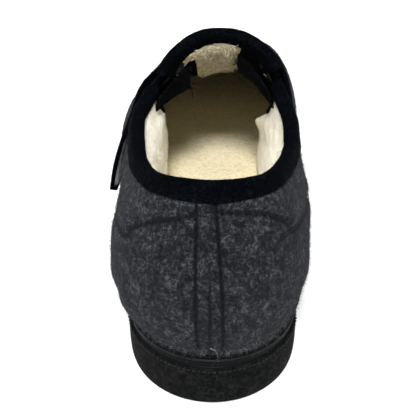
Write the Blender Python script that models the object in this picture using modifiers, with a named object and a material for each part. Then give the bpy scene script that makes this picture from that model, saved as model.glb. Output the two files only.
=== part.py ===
"""Felt slipper, left foot: rubber unit sole, hollow felt upper, bound collar and tongue, instep strap.

Metres, +Z up, toe along +Y, lateral side at -X. The tables have the back of the sole at y = 0, and the
finished slipper is moved so that the origin is on the floor under its middle.
Tables are in millimetres, and every table row is one section of the slipper.
"""

import math
from collections import namedtuple

import bmesh
import bpy
from mathutils import Matrix, Vector
from mathutils.geometry import convex_hull_2d

MM = 0.001

# Driving sizes in millimetres
SOLE_LENGTH = 286.0
HEEL_CAP = 37.0
TOE_CAP_START = 215.0
TOE_TIP_X = 9.0
HEEL_CENTRE_X = 0.5
HEEL_ROUNDNESS = 2.0
TOE_ROUNDNESS = 2.3
RAND_WALL = 2.4
SEAM_GAP = 0.35
SLOT_GAP = 0.45
FELT_WALL = 3.5
TONGUE_WALL = 3.0
INSOLE_THICKNESS = 6.0
LIP_DEPTH = 7.0
SIDE_LIP_SHARE = 0.7
HEEL_LIP_S = 0.2
LIP_ROOM = 1.5
COLLAR_SIDE = 1.3
TONGUE_SIDE = 1.3
ELASTIC_WALL = 1.2
PATCH_WALL = 0.6

# Cross grooves of the tread
LUG_DEPTH = 2.2
GROOVE_WIDTH = 4.0
GROOVE_MARGIN = 11.0
GROOVE_SPACING = 13.0
GROOVES_EACH = 5
HEEL_GROOVES_START = 22.0
BALL_GROOVES_START = 164.0

# Instep strap: it lies in planes that lean back by STRAP_TILT, and STRAP_REAR is where its rear plane
# meets the floor. Low ends are heights in the leaning plane.
STRAP_WALL = 2.5
STRAP_WIDTH = 32.0
STRAP_TILT = 0.68
STRAP_REAR = 72.0
STRAP_LOW_MEDIAL = 52.0
STRAP_LOW_LATERAL = 47.5
STRAP_CORNER = 5.0
STRAP_END_SLANT = 3.0
STRAP_CLEARANCE = 0.7
STRAP_END_LIFT = 7.0
STRAP_FREE_FROM = 0.70
STRAP_SHOULDER = 1.8
STRAP_SHOULDER_AT = 0.36
STRAP_SHOULDER_WIDTH = 0.10
STRAP_COLUMNS = 36
STRAP_LINES = 7
PATCH_FROM = 31
WRAP_CENTRE_X = 6.5
WRAP_CENTRE_HEIGHT = 60.0

LATERAL, MEDIAL = -1, 1

# Plan outline of the sole: half widths from the shoe's axis
PlanRow = namedtuple("PlanRow", "y lateral medial")
PLAN = (
    PlanRow(0, 36.0, 37.0),
    PlanRow(37, 36.5, 37.8),
    PlanRow(70, 36.0, 37.5),
    PlanRow(100, 36.0, 38.0),
    PlanRow(130, 39.5, 42.0),
    PlanRow(160, 45.5, 48.0),
    PlanRow(185, 49.5, 52.0),
    PlanRow(210, 50.5, 53.5),
    PlanRow(235, 49.0, 52.0),
    PlanRow(260, 47.0, 49.5),
    PlanRow(286, 45.0, 47.0),
)

# Heights of the sole along the foot: tread, deck inside the rand, and top of the rand
SoleRow = namedtuple("SoleRow", "y tread deck rand")
SOLE_LINES = (
    SoleRow(0, 0.0, 20.5, 26.6),
    SoleRow(60, 0.0, 19.5, 25.6),
    SoleRow(88, 0.0, 18.2, 24.6),
    SoleRow(104, 2.0, 17.6, 24.0),
    SoleRow(138, 2.0, 16.2, 22.6),
    SoleRow(154, 0.0, 15.6, 22.0),
    SoleRow(190, 0.0, 15.0, 21.4),
    SoleRow(222, 0.0, 15.2, 21.6),
    SoleRow(250, 2.6, 17.4, 23.6),
    SoleRow(272, 6.2, 20.6, 26.6),
    SoleRow(286, 9.0, 23.0, 29.0),
)

# Side profile of the sole, from the tread up: share of the height, and inset from the outline
SideRow = namedtuple("SideRow", "share inset")
SOLE_SIDE = (
    SideRow(0.00, 2.2),
    SideRow(0.03, 0.9),
    SideRow(0.10, 0.3),
    SideRow(0.28, 0.0),
    SideRow(0.55, 0.0),
    SideRow(0.76, 0.3),
    SideRow(0.79, 1.4),
    SideRow(0.93, 1.3),
    SideRow(1.00, 1.9),
)

# Upper: from the heel centre (0) to the toe (1) along the feather edge, with one row past the heel
# that mirrors the next one. The top line is the collar as far as the corners of the quarters, then
# the V of the throat, then the ridge of the vamp.
UpperRow = namedtuple("UpperRow", "s x_lat x_med y z_lat z_med flare_lat flare_med lean rise reach")
UPPER = (
    UpperRow(-0.09, 20.0, -19.5, 20.0, 99.5, 99.5, 44, 36, 24, 0.40, 0.35),
    UpperRow(0.00, 0.5, 0.5, 12.0, 101.0, 101.0, 38, 38, 18, 0.38, 0.35),
    UpperRow(0.09, -19.5, 20.0, 20.0, 99.5, 99.5, 44, 34, 24, 0.40, 0.35),
    UpperRow(0.18, -28.6, 29.3, 40.0, 94.5, 94.5, 39, 26, 27, 0.40, 0.36),
    UpperRow(0.27, -33.3, 35.5, 69.0, 88.5, 88.5, 38, 40, 18, 0.40, 0.36),
    UpperRow(0.36, -35.6, 37.2, 98.0, 85.0, 85.5, 32, 16, 14, 0.40, 0.36),
    UpperRow(0.425, -33.0, 35.0, 116.0, 84.5, 86.0, 22, -7, 18, 0.40, 0.38),
    UpperRow(0.475, -28.0, 32.0, 131.0, 87.5, 90.5, 18, -11, 29, 0.42, 0.42),
    UpperRow(0.52, -15.0, 25.0, 147.0, 94.5, 97.0, 16, -5, 52, 0.48, 0.50),
    UpperRow(0.55, 6.5, 6.5, 160.0, 92.5, 92.5, 14, 12, 90, 0.54, 0.55),
    UpperRow(0.62, 7.5, 7.5, 180.0, 82.5, 82.5, 12, 10, 90, 0.55, 0.56),
    UpperRow(0.70, 8.5, 8.5, 203.0, 72.0, 72.0, 12, 10, 90, 0.56, 0.57),
    UpperRow(0.80, 9.0, 9.0, 228.0, 62.5, 62.5, 14, 12, 90, 0.58, 0.58),
    UpperRow(0.90, 9.0, 9.0, 246.0, 56.5, 56.5, 18, 18, 90, 0.60, 0.60),
    UpperRow(1.00, 9.0, 9.0, 256.0, 53.5, 53.5, 22, 22, 90, 0.60, 0.62),
)
THROAT_S = 0.55
CORNER_S = 22 / 48
MEDIAL_FULLNESS = 1.16
UPPER_STATIONS = 48
UPPER_ROWS = 11

# Tongue: rows from its free end down to the end that is tucked under the vamp
TongueRow = namedtuple("TongueRow", "k x y z lateral medial drop_lat drop_med back")
TONGUE = (
    TongueRow(0, 4.0, 134.5, 111.8, 30.0, 29.0, 19.0, 16.0, 10.0),
    TongueRow(1, 5.0, 141.0, 102.6, 24.5, 22.5, 14.5, 12.0, 7.5),
    TongueRow(2, 6.0, 150.0, 91.2, 18.5, 17.0, 7.5, 6.5, 4.0),
    TongueRow(3, 6.5, 160.0, 85.0, 15.5, 15.0, 5.5, 5.0, 2.0),
    TongueRow(4, 6.5, 172.0, 79.6, 14.0, 13.5, 4.5, 4.0, 0.0),
)
TONGUE_ARCH = 0.95
TONGUE_COLUMNS = 16


def blend(rows, key, value, field):
    """A smooth value between table rows, with slopes that never overshoot."""
    keys = [getattr(row, key) for row in rows]
    values = [getattr(row, field) for row in rows]
    if value <= keys[0]:
        return values[0]
    if value >= keys[-1]:
        return values[-1]
    i = max(k for k in range(len(keys) - 1) if keys[k] <= value)
    steps = [(values[k + 1] - values[k]) / (keys[k + 1] - keys[k]) for k in range(len(keys) - 1)]

    def slope(k):
        if k == 0:
            return steps[0]
        if k == len(steps):
            return steps[-1]
        if steps[k - 1] * steps[k] <= 0:
            return 0.0
        return 2 * steps[k - 1] * steps[k] / (steps[k - 1] + steps[k])

    width = keys[i + 1] - keys[i]
    t = (value - keys[i]) / width
    start = (2 * t**3 - 3 * t**2 + 1) * values[i] + (t**3 - 2 * t**2 + t) * width * slope(i)
    end = (3 * t**2 - 2 * t**3) * values[i + 1] + (t**3 - t**2) * width * slope(i + 1)
    return start + end


def plan_at(side, y):
    """Point of the sole's outline at a distance from the back of the heel."""
    half = blend(PLAN, "y", y, "medial" if side == MEDIAL else "lateral")
    centre, cap = 0.0, 1.0
    if y < HEEL_CAP:
        centre = HEEL_CENTRE_X
        cap = (1 - ((HEEL_CAP - y) / HEEL_CAP) ** HEEL_ROUNDNESS) ** (1 / HEEL_ROUNDNESS)
    if y > TOE_CAP_START:
        centre = TOE_TIP_X
        share = (y - TOE_CAP_START) / (SOLE_LENGTH - TOE_CAP_START)
        cap = max(0.0, 1 - share**TOE_ROUNDNESS) ** (1 / TOE_ROUNDNESS)
    return Vector((centre + (side * half - centre) * cap, y))


def measured_outline(side, samples=400):
    """The outline of one side with the distance run along it, heel centre to toe."""
    points = []
    for i in range(samples + 1):
        share = (1 - math.cos(math.pi * i / samples)) / 2
        points.append(plan_at(side, SOLE_LENGTH * share))
    run = [0.0]
    for a, b in zip(points, points[1:]):
        run.append(run[-1] + (b - a).length)
    return points, run


OUTLINES = {side: measured_outline(side) for side in (LATERAL, MEDIAL)}


def outline(side, s, inset=0.0):
    """Point of the outline at share s of the way to the toe, moved inwards, and its outward normal."""
    points, run = OUTLINES[side]
    target = s * run[-1]
    i = 0
    while i < len(run) - 2 and run[i + 1] < target:
        i += 1
    t = (target - run[i]) / (run[i + 1] - run[i])
    point = points[i].lerp(points[i + 1], t)
    before, after = points[max(i - 2, 0)], points[min(i + 3, len(points) - 1)]
    tangent = (after - before).normalized()
    normal = Vector((tangent.y, -tangent.x)) * side
    if s <= 0.0:
        normal = Vector((0.0, -1.0))
    if s >= 1.0:
        normal = Vector((0.0, 1.0))
    return point - normal * inset, normal


def top_line(side, s):
    """Point of the collar, throat or ridge that station s of the upper rises to."""
    own = "med" if side == MEDIAL or s >= THROAT_S else "lat"
    x = blend(UPPER, "s", s, "x_" + own)
    z = blend(UPPER, "s", s, "z_" + own)
    return Vector((x, blend(UPPER, "s", s, "y"), z))


def ridge_fall(s):
    """How much the ridge drops for each millimetre forward, past the throat."""
    if s < THROAT_S:
        return 0.0
    step = 0.01
    a, b = top_line(MEDIAL, min(s, 1 - step)), top_line(MEDIAL, min(s, 1 - step) + step)
    return (a.z - b.z) / (b.y - a.y)


def upper_profile(side, s):
    """Control points of the outer face at station s: the foot inside the rand, then one Bezier curve."""
    inset = RAND_WALL + SEAM_GAP
    plan, normal = outline(side, s, inset)
    foot = Vector((plan.x, plan.y, blend(SOLE_LINES, "y", plan.y, "deck") + SEAM_GAP))
    knee = Vector((plan.x, plan.y, blend(SOLE_LINES, "y", plan.y, "rand")))
    top = top_line(side, s)
    out = Vector((normal.x, normal.y, 0.0))
    flare = math.radians(blend(UPPER, "s", s, "flare_med" if side == MEDIAL else "flare_lat"))
    lean = math.radians(blend(UPPER, "s", s, "lean"))
    height = top.z - knee.z
    across = (top - knee).xy.length
    rise = blend(UPPER, "s", s, "rise") * height
    reach = blend(UPPER, "s", s, "reach") * math.hypot(height * math.cos(lean), across * math.sin(lean))
    if side == MEDIAL and s > CORNER_S:
        reach *= 1 + (MEDIAL_FULLNESS - 1) * min(1.0, (s - CORNER_S) / 0.1) * min(1.0, (1 - s) / 0.2)
    low_handle = knee + rise * (out * math.sin(flare) + Vector((0, 0, math.cos(flare))))
    inward = Vector((-out.x, -out.y, out.y * ridge_fall(s)))
    high_handle = top - reach * (inward * math.sin(lean) + Vector((0, 0, math.cos(lean))))
    return foot, knee, low_handle, high_handle, top


def upper_point(side, s, v):
    """Outer face of the felt: v is -1 at the deck, 0 at the top of the rand and 1 at the top line."""
    foot, knee, low, high, top = upper_profile(side, s)
    if v <= 0:
        return knee.lerp(foot, -v)
    if v > 1:
        return top + (top - high).normalized() * (v - 1)
    u = 1 - v
    return u**3 * knee + 3 * u * u * v * low + 3 * u * v * v * high + v**3 * top


def around(side, s):
    """Stations past the heel centre or the toe carry on along the other side."""
    if s < 0:
        return -side, -s
    if s > 1:
        return -side, 2 - s
    return side, s


def upper_normal(side, s, v):
    """Outward normal of the felt's outer face."""
    ds, dv = 0.004, 0.01
    low, high = max(v - dv, 0.001), min(v + dv, 0.999)
    along = upper_point(*around(side, s + ds), v) - upper_point(*around(side, s - ds), v)
    if s - ds < 0 or s + ds > 1:
        along = Vector((along.x, 0.0, 0.0))
    up = upper_point(side, s, high) - upper_point(side, s, low)
    return (along.cross(up) * side).normalized()


def felt_surface(side, s, depth, offset):
    """Point at a depth below the top line along the felt, and an offset out from its outer face."""
    if depth <= 0:
        base = upper_point(side, s, 1.0)
        rise = upper_point(side, s, 1.0) - upper_point(side, s, 0.98)
        return base - rise.normalized() * depth + upper_normal(side, s, 0.98) * offset
    v, run, here = 1.0, 0.0, upper_point(side, s, 1.0)
    step = 0.004
    while run < depth and v > step:
        v -= step
        there = upper_point(side, s, v)
        run += (there - here).length
        here = there
    return here + upper_normal(side, s, v) * offset


def new_collection(name):
    """A collection linked to the scene."""
    collection = bpy.data.collections.new(name)
    bpy.context.scene.collection.children.link(collection)
    return collection


def finish_material(name, colour, roughness):
    """A Principled material, not metallic."""
    material = bpy.data.materials.new(name)
    material.use_nodes = True
    shader = material.node_tree.nodes["Principled BSDF"]
    shader.inputs["Base Color"].default_value = (*colour, 1.0)
    shader.inputs["Roughness"].default_value = roughness
    shader.inputs["Metallic"].default_value = 0.0
    return material


def mesh_object(name, points, faces, collection, material=None, smooth=True):
    """An object from points in millimetres, with its normals turned outwards."""
    mesh = bpy.data.meshes.new(name)
    mesh.from_pydata([Vector(p) * MM for p in points], [], faces)
    work = bmesh.new()
    work.from_mesh(mesh)
    bmesh.ops.remove_doubles(work, verts=work.verts, dist=0.02 * MM)
    bmesh.ops.dissolve_degenerate(work, edges=work.edges, dist=0.01 * MM)
    bmesh.ops.recalc_face_normals(work, faces=work.faces)
    work.to_mesh(mesh)
    work.free()
    if smooth:
        mesh.shade_smooth()
        mesh.set_sharp_from_angle(angle=math.radians(40))
    thing = bpy.data.objects.new(name, mesh)
    collection.objects.link(thing)
    if material:
        mesh.materials.append(material)
    return thing


def grid_faces(rows, columns, close_rows=False, close_columns=False):
    """Quads of a grid whose points run row by row."""
    faces = []
    for r in range(rows if close_rows else rows - 1):
        for c in range(columns if close_columns else columns - 1):
            r2, c2 = (r + 1) % rows, (c + 1) % columns
            faces.append((r * columns + c, r * columns + c2, r2 * columns + c2, r2 * columns + c))
    return faces


def ring_stations(count):
    """Side and share of each station of a closed ring: heel, lateral side, toe, medial side."""
    lateral = [(LATERAL, i / count) for i in range(count + 1)]
    medial = [(MEDIAL, 1 - i / count) for i in range(1, count)]
    return lateral + medial


def cap_faces(base, count):
    """Cross strips that close a ring of 2 x count stations that starts at point base."""
    faces = []
    for i in range(count):
        a, b = base + i, base + i + 1
        c, d = base + (2 * count - i - 1), base + (2 * count - i) % (2 * count)
        corners = []
        for corner in (a, b, c, d):
            if corner not in corners:
                corners.append(corner)
        if len(corners) > 2:
            faces.append(tuple(corners))
    return faces


def ring_body(name, rings, count, collection, material):
    """A closed body lofted through rings, with its first and last ring capped."""
    points = [p for ring in rings for p in ring]
    faces = grid_faces(len(rings), 2 * count, close_columns=True)
    faces += cap_faces(0, count)
    faces += cap_faces((len(rings) - 1) * 2 * count, count)
    return mesh_object(name, points, faces, collection, material)


def outsole(collection, cutters, material):
    """Unit sole: tread, rounded side with its ledge, rand, and the deck that the upper stands on."""
    count = 44
    stations = ring_stations(count)
    rings = []
    for row in SOLE_SIDE:
        ring = []
        for side, s in stations:
            plan, _ = outline(side, s, row.inset)
            tread = blend(SOLE_LINES, "y", plan.y, "tread")
            rand = blend(SOLE_LINES, "y", plan.y, "rand")
            ring.append((plan.x, plan.y, tread + row.share * (rand - tread)))
        rings.append(ring)
    for level in ("rand", "deck"):
        ring = []
        for side, s in stations:
            plan, _ = outline(side, s, RAND_WALL)
            ring.append((plan.x, plan.y, blend(SOLE_LINES, "y", plan.y, level)))
        rings.append(ring)
    sole = ring_body("outsole", rings, count, collection, material)
    cut_lugs(sole, cutters)
    return sole


def cut_lugs(sole, cutters):
    """Cross grooves that leave low lugs under the heel and the ball, clear of the sole's edge."""
    heel_rows = [HEEL_GROOVES_START + GROOVE_SPACING * i for i in range(GROOVES_EACH)]
    ball_rows = [BALL_GROOVES_START + GROOVE_SPACING * i for i in range(GROOVES_EACH)]
    work = bmesh.new()
    for y in heel_rows + ball_rows:
        left = plan_at(LATERAL, y).x + GROOVE_MARGIN
        right = plan_at(MEDIAL, y).x - GROOVE_MARGIN
        size = Vector((right - left, GROOVE_WIDTH, 2 * LUG_DEPTH)) * MM
        block = bmesh.ops.create_cube(work, size=1.0)
        bmesh.ops.scale(work, verts=block["verts"], vec=size)
        place = Vector(((left + right) / 2, y, 0.0)) * MM
        bmesh.ops.translate(work, verts=block["verts"], vec=place)
    mesh = bpy.data.meshes.new("lug_grooves")
    work.to_mesh(mesh)
    work.free()
    grooves = bpy.data.objects.new("lug_grooves", mesh)
    grooves.hide_render = True
    grooves.display_type = "WIRE"
    cutters.objects.link(grooves)
    cut = sole.modifiers.new("Lugs", "BOOLEAN")
    cut.operation = "DIFFERENCE"
    cut.solver = "EXACT"
    cut.object = grooves


def insole(collection, material):
    """Footbed inside the upper's wall, with a soft upper edge."""
    count = 32
    stations = ring_stations(count)
    wall = RAND_WALL + FELT_WALL + 3 * SEAM_GAP
    rings = []
    for inset, lift in ((0.6, 0.0), (0.0, 1.2), (0.0, 0.75 * INSOLE_THICKNESS), (2.2, INSOLE_THICKNESS)):
        ring = []
        for side, s in stations:
            plan, _ = outline(side, s, wall + inset)
            deck = blend(SOLE_LINES, "y", plan.y, "deck") + SEAM_GAP
            ring.append((plan.x, plan.y, deck + lift))
        rings.append(ring)
    return ring_body("insole", rings, count, collection, material)


def felt_upper(collection, material):
    """Vamp and quarters as one felt wall, open at the collar, the throat and underneath."""
    levels = [-1.0, 0.0] + [(i + 1) / UPPER_ROWS for i in range(UPPER_ROWS)]
    stations = ring_stations(UPPER_STATIONS)
    points = [upper_point(side, s, v) for v in levels for side, s in stations]
    faces = grid_faces(len(levels), len(stations), close_columns=True)
    upper = mesh_object("felt_upper", points, faces, collection, material)
    wall = upper.modifiers.new("Felt wall", "SOLIDIFY")
    wall.thickness = FELT_WALL * MM
    wall.offset = -1.0
    wall.use_even_offset = True
    wall.use_rim = True
    return upper


def binding_section(wall, side_wall, lip):
    """Cross-section of a binding folded over an edge: (offset from the outer face, depth) pairs."""
    gap = SLOT_GAP
    inner = -(wall + gap)
    return (
        (gap, lip),
        (gap, -gap),
        (inner, -gap),
        (inner, lip),
        (inner - 0.8 * side_wall, lip * 0.97),
        (inner - 1.15 * side_wall, lip * 0.5),
        (inner - 0.9 * side_wall, -0.35 * side_wall),
        (inner + 0.2 * side_wall, -1.1 * side_wall),
        (gap - 0.2 * side_wall, -1.1 * side_wall),
        (gap + 0.9 * side_wall, -0.35 * side_wall),
        (gap + 1.15 * side_wall, lip * 0.5),
        (gap + 0.8 * side_wall, lip * 0.97),
    )


def bound_edge(name, section, stations, surface, collection, material):
    """A binding folded over an edge: its section follows the bound sheet's own surface."""
    size = len(section)
    points = []
    for station in stations:
        points += [surface(*station, depth, offset) for offset, depth in section]
    faces = grid_faces(len(stations), size, close_columns=True)
    for base in (0, (len(stations) - 1) * size):
        for quad in ((0, 9, 10, 11), (0, 1, 8, 9), (1, 2, 7, 8), (2, 3, 6, 7), (3, 4, 5, 6)):
            faces.append(tuple(base + corner for corner in quad))
    return mesh_object(name, points, faces, collection, material)


def collar_binding(collection, material):
    """Binding of the collar, from the lateral front corner round the heel to the medial one."""
    count = round(CORNER_S * UPPER_STATIONS)
    lateral = [(LATERAL, CORNER_S * (1 - i / count)) for i in range(count)]
    medial = [(MEDIAL, CORNER_S * i / count) for i in range(count + 1)]
    section = binding_section(FELT_WALL, COLLAR_SIDE, LIP_DEPTH)

    def surface(side, s, depth, offset):
        share = 1.0 - (1.0 - SIDE_LIP_SHARE) * min(1.0, s / HEEL_LIP_S)
        return felt_surface(side, s, depth * share if depth > 0 else depth, offset)

    return bound_edge("collar_binding", section, lateral + medial, surface, collection, material)


def tongue_point(across, along):
    """Outer face of the tongue: across runs -1 to 1, along 0 at the free end to 1 under the vamp."""
    place = along * (len(TONGUE) - 1)

    def at(field):
        return blend(TONGUE, "k", place, field)

    side = "lat" if across < 0 else "med"
    half = at("lateral") if across < 0 else at("medial")
    bow = (1 - math.sqrt(1 - (TONGUE_ARCH * across) ** 2)) / (1 - math.sqrt(1 - TONGUE_ARCH**2))
    x = at("x") + across * half
    return Vector((x, at("y") - at("back") * bow, at("z") - at("drop_" + side) * bow))


def tongue_normal(across, along):
    """Upward normal of the tongue's outer face."""
    d = 0.02
    a, b = max(across - d, -1), min(across + d, 1)
    c, e = max(along - d, 0), min(along + d, 1)
    over = tongue_point(b, along) - tongue_point(a, along)
    down = tongue_point(across, e) - tongue_point(across, c)
    return over.cross(down).normalized()


def tongue_surface(across, depth, offset):
    """Point at a depth below the tongue's free end, and an offset out from its outer face."""
    length = (tongue_point(across, 0.0) - tongue_point(across, 0.25)).length / 0.25
    along = depth / length
    normal = tongue_normal(across, max(along, 0.0))
    if along >= 0:
        return tongue_point(across, along) + normal * offset
    edge = tongue_point(across, 0.0)
    rise = (edge - tongue_point(across, 0.02)).normalized()
    return edge - rise * depth + normal * offset


def tongue(collection, material):
    """Felt tongue, an open arched sheet with its wall added inwards."""
    rows = 9
    points = []
    for r in range(rows + 1):
        for c in range(TONGUE_COLUMNS + 1):
            points.append(tongue_point(-1 + 2 * c / TONGUE_COLUMNS, r / rows))
    faces = grid_faces(rows + 1, TONGUE_COLUMNS + 1)
    sheet = mesh_object("tongue", points, faces, collection, material)
    if sheet.data.polygons[0].normal.z < 0:
        sheet.data.flip_normals()
    wall = sheet.modifiers.new("Felt wall", "SOLIDIFY")
    wall.thickness = TONGUE_WALL * MM
    wall.offset = -1.0
    wall.use_even_offset = True
    wall.use_rim = True
    return sheet


def tongue_binding(collection, material):
    """Binding folded over the tongue's free end."""
    count = 26
    stations = [(-1 + 2 * i / count,) for i in range(count + 1)]
    section = binding_section(TONGUE_WALL, TONGUE_SIDE, LIP_DEPTH)
    return bound_edge("tongue_binding", section, stations, tongue_surface, collection, material)


# Elastic gussets: side, collar station and depths where they are sewn to the quarter, and the place
# across the tongue, share along it and hang of the end that is sewn to the tongue's underside
GussetRow = namedtuple("GussetRow", "name side s top bottom across along hang sag")
GUSSETS = (
    GussetRow("gusset_lateral", LATERAL, 0.445, 1.5, 11.0, -0.78, 0.28, 13.0, -1.5),
    GussetRow("gusset_medial", MEDIAL, 0.445, 1.5, 11.0, 0.45, 0.28, 9.0, -2.5),
)


def gusset(row, collection, material):
    """Elastic band from the quarter's inner face to the underside of the tongue."""
    inside = -(FELT_WALL + SLOT_GAP + LIP_ROOM + SEAM_GAP + ELASTIC_WALL / 2)
    outer_top = felt_surface(row.side, row.s, row.top, inside)
    outer_low = felt_surface(row.side, row.s, row.bottom, inside)
    under = TONGUE_WALL + SEAM_GAP + ELASTIC_WALL / 2
    inner_top = tongue_point(row.across, row.along) - tongue_normal(row.across, row.along) * under
    inner_low = inner_top - Vector((0, 0, row.hang))
    columns, rows = 10, 4
    points = []
    for r in range(rows + 1):
        low = r / rows
        start, end = outer_top.lerp(outer_low, low), inner_top.lerp(inner_low, low)
        for c in range(columns + 1):
            t = c / columns
            point = start.lerp(end, t)
            point.z -= row.sag * math.sin(math.pi * t)
            points.append(point)
    band = mesh_object(row.name, points, grid_faces(rows + 1, columns + 1), collection, material)
    wall = band.modifiers.new("Elastic", "SOLIDIFY")
    wall.thickness = ELASTIC_WALL * MM
    wall.offset = 0.0
    wall.use_rim = True
    return band


def evaluated_copy(thing):
    """The finished mesh of an object as a bmesh, with its modifiers applied."""
    graph = bpy.context.evaluated_depsgraph_get()
    work = bmesh.new()
    mesh = thing.evaluated_get(graph).to_mesh()
    work.from_mesh(mesh)
    thing.evaluated_get(graph).to_mesh_clear()
    return work


def wrapped_line(supports, reach, spacing):
    """What a taut band lies on at a tilted cross plane: the hull of the sections near that plane."""
    tilt = Vector((0.0, STRAP_TILT, 1.0)).normalized()
    across = Vector((1.0, 0.0, 0.0))
    normal = across.cross(tilt)
    origin = Vector((0.0, reach, 0.0)) * MM
    flat = []
    for work in supports:
        for shift in (-0.5, 0.0, 0.5):
            place = origin + Vector((0.0, shift * spacing * MM, 0.0))
            cut = work.copy()
            everything = cut.verts[:] + cut.edges[:] + cut.faces[:]
            found = bmesh.ops.bisect_plane(cut, geom=everything, plane_co=place, plane_no=normal)
            for item in found["geom_cut"]:
                if isinstance(item, bmesh.types.BMVert):
                    flat.append(Vector((item.co.x / MM, (item.co - place).dot(tilt) / MM)))
            cut.free()
    hull = [flat[i] for i in convex_hull_2d(flat)]
    return hull, origin / MM, tilt


def hull_run(hull, low_medial, low_lateral):
    """The hull from a height on the medial side over the top to a height on the lateral side."""
    centre = Vector((WRAP_CENTRE_X, WRAP_CENTRE_HEIGHT))
    count = 240
    run = []
    for i in range(count + 1):
        angle = math.radians(-30 + 240 * i / count)
        ray = Vector((math.cos(angle), math.sin(angle)))
        best = None
        for a, b in zip(hull, hull[1:] + hull[:1]):
            edge = b - a
            cross = ray.x * edge.y - ray.y * edge.x
            if abs(cross) < 1e-9:
                continue
            gap = a - centre
            t = (gap.x * edge.y - gap.y * edge.x) / cross
            u = (gap.x * ray.y - gap.y * ray.x) / cross
            if t > 0 and -1e-6 <= u <= 1 + 1e-6:
                best = t if best is None else max(best, t)
        point = centre + ray * best
        limit = low_medial if angle < math.pi / 2 else low_lateral
        if point.y >= limit:
            run.append(point)
    return run


def resample(run, count):
    """Evenly spaced points of a run, with the normal of each pointing away from the shoe."""
    lengths = [0.0]
    for a, b in zip(run, run[1:]):
        lengths.append(lengths[-1] + (b - a).length)
    places = []
    for i in range(count + 1):
        target = lengths[-1] * i / count
        k = max(j for j in range(len(run) - 1) if lengths[j] <= target + 1e-9)
        t = (target - lengths[k]) / max(lengths[k + 1] - lengths[k], 1e-9)
        places.append(run[k].lerp(run[k + 1], min(t, 1.0)))
    normals = []
    for i in range(count + 1):
        tangent = places[min(i + 1, count)] - places[max(i - 1, 0)]
        normals.append(Vector((tangent.y, -tangent.x)).normalized())
    return places, normals


def strap_line(supports, across):
    """Points and normals of the strap's under face along one line; across is 0 at its rear edge."""
    spacing = STRAP_WIDTH * math.hypot(1.0, STRAP_TILT)
    reach = STRAP_REAR + spacing * across
    hull, origin, tilt = wrapped_line(supports, reach, spacing / (STRAP_LINES - 1))
    rounding = STRAP_CORNER * (2 * across - 1) ** 4
    run = hull_run(hull, STRAP_LOW_MEDIAL, STRAP_LOW_LATERAL + rounding + STRAP_END_SLANT * across)
    places, normals = resample(run, STRAP_COLUMNS)
    line = []
    for i, (place, normal) in enumerate(zip(places, normals)):
        share = i / STRAP_COLUMNS
        end = max(0.0, (share - STRAP_FREE_FROM) / (1.0 - STRAP_FREE_FROM))
        shoulder = math.exp(-(((share - STRAP_SHOULDER_AT) / STRAP_SHOULDER_WIDTH) ** 2))
        lift = STRAP_CLEARANCE + STRAP_END_LIFT * end**2 * (1.0 - 0.6 * across)
        lift += STRAP_SHOULDER * shoulder * (1.0 - across)
        flat = place + normal * lift
        point = origin + Vector((flat.x, 0, 0)) + tilt * flat.y
        line.append((point, Vector((normal.x, 0, 0)) + tilt * normal.y))
    return line


def plate(name, grid, low, high, collection, material):
    """A closed plate over a grid of points and normals, between two heights above it."""
    rows, columns = len(grid), len(grid[0])
    points = [p + n * low for line in grid for p, n in line]
    points += [p + n * high for line in grid for p, n in line]
    size = rows * columns
    faces = grid_faces(rows, columns)
    faces += [tuple(size + i for i in reversed(face)) for face in grid_faces(rows, columns)]
    rim = [c for c in range(columns)]
    rim += [r * columns + columns - 1 for r in range(1, rows)]
    rim += [(rows - 1) * columns + c for c in range(columns - 2, -1, -1)]
    rim += [r * columns for r in range(rows - 2, 0, -1)]
    for a, b in zip(rim, rim[1:] + rim[:1]):
        faces.append((b, a, size + a, size + b))
    return mesh_object(name, points, faces, collection, material)


def instep_strap(grid, collection, material):
    """Felt strap over the instep, its lateral end free."""
    return plate("instep_strap", grid, 0.0, STRAP_WALL, collection, material)


def hook_patch(grid, collection, material):
    """Fastening patch under the strap's free end, clear of the strap's edges."""
    patch = [line[PATCH_FROM:STRAP_COLUMNS] for line in grid[1:-1]]
    return plate("hook_patch", patch, -SEAM_GAP - PATCH_WALL, -SEAM_GAP, collection, material)


def centre_on_floor(collection, cutters):
    """Moves every mesh so that the origin is under the middle of the slipper, on the floor."""
    bpy.context.view_layer.update()
    graph = bpy.context.evaluated_depsgraph_get()
    corners = [Vector(corner) for thing in collection.objects for corner in thing.evaluated_get(graph).bound_box]
    low = Vector([min(corner[axis] for corner in corners) for axis in range(3)])
    high = Vector([max(corner[axis] for corner in corners) for axis in range(3)])
    shift = -(low + high) / 2
    shift.z = -low.z
    for thing in list(collection.objects) + list(cutters.objects):
        thing.data.transform(Matrix.Translation(shift))


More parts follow.
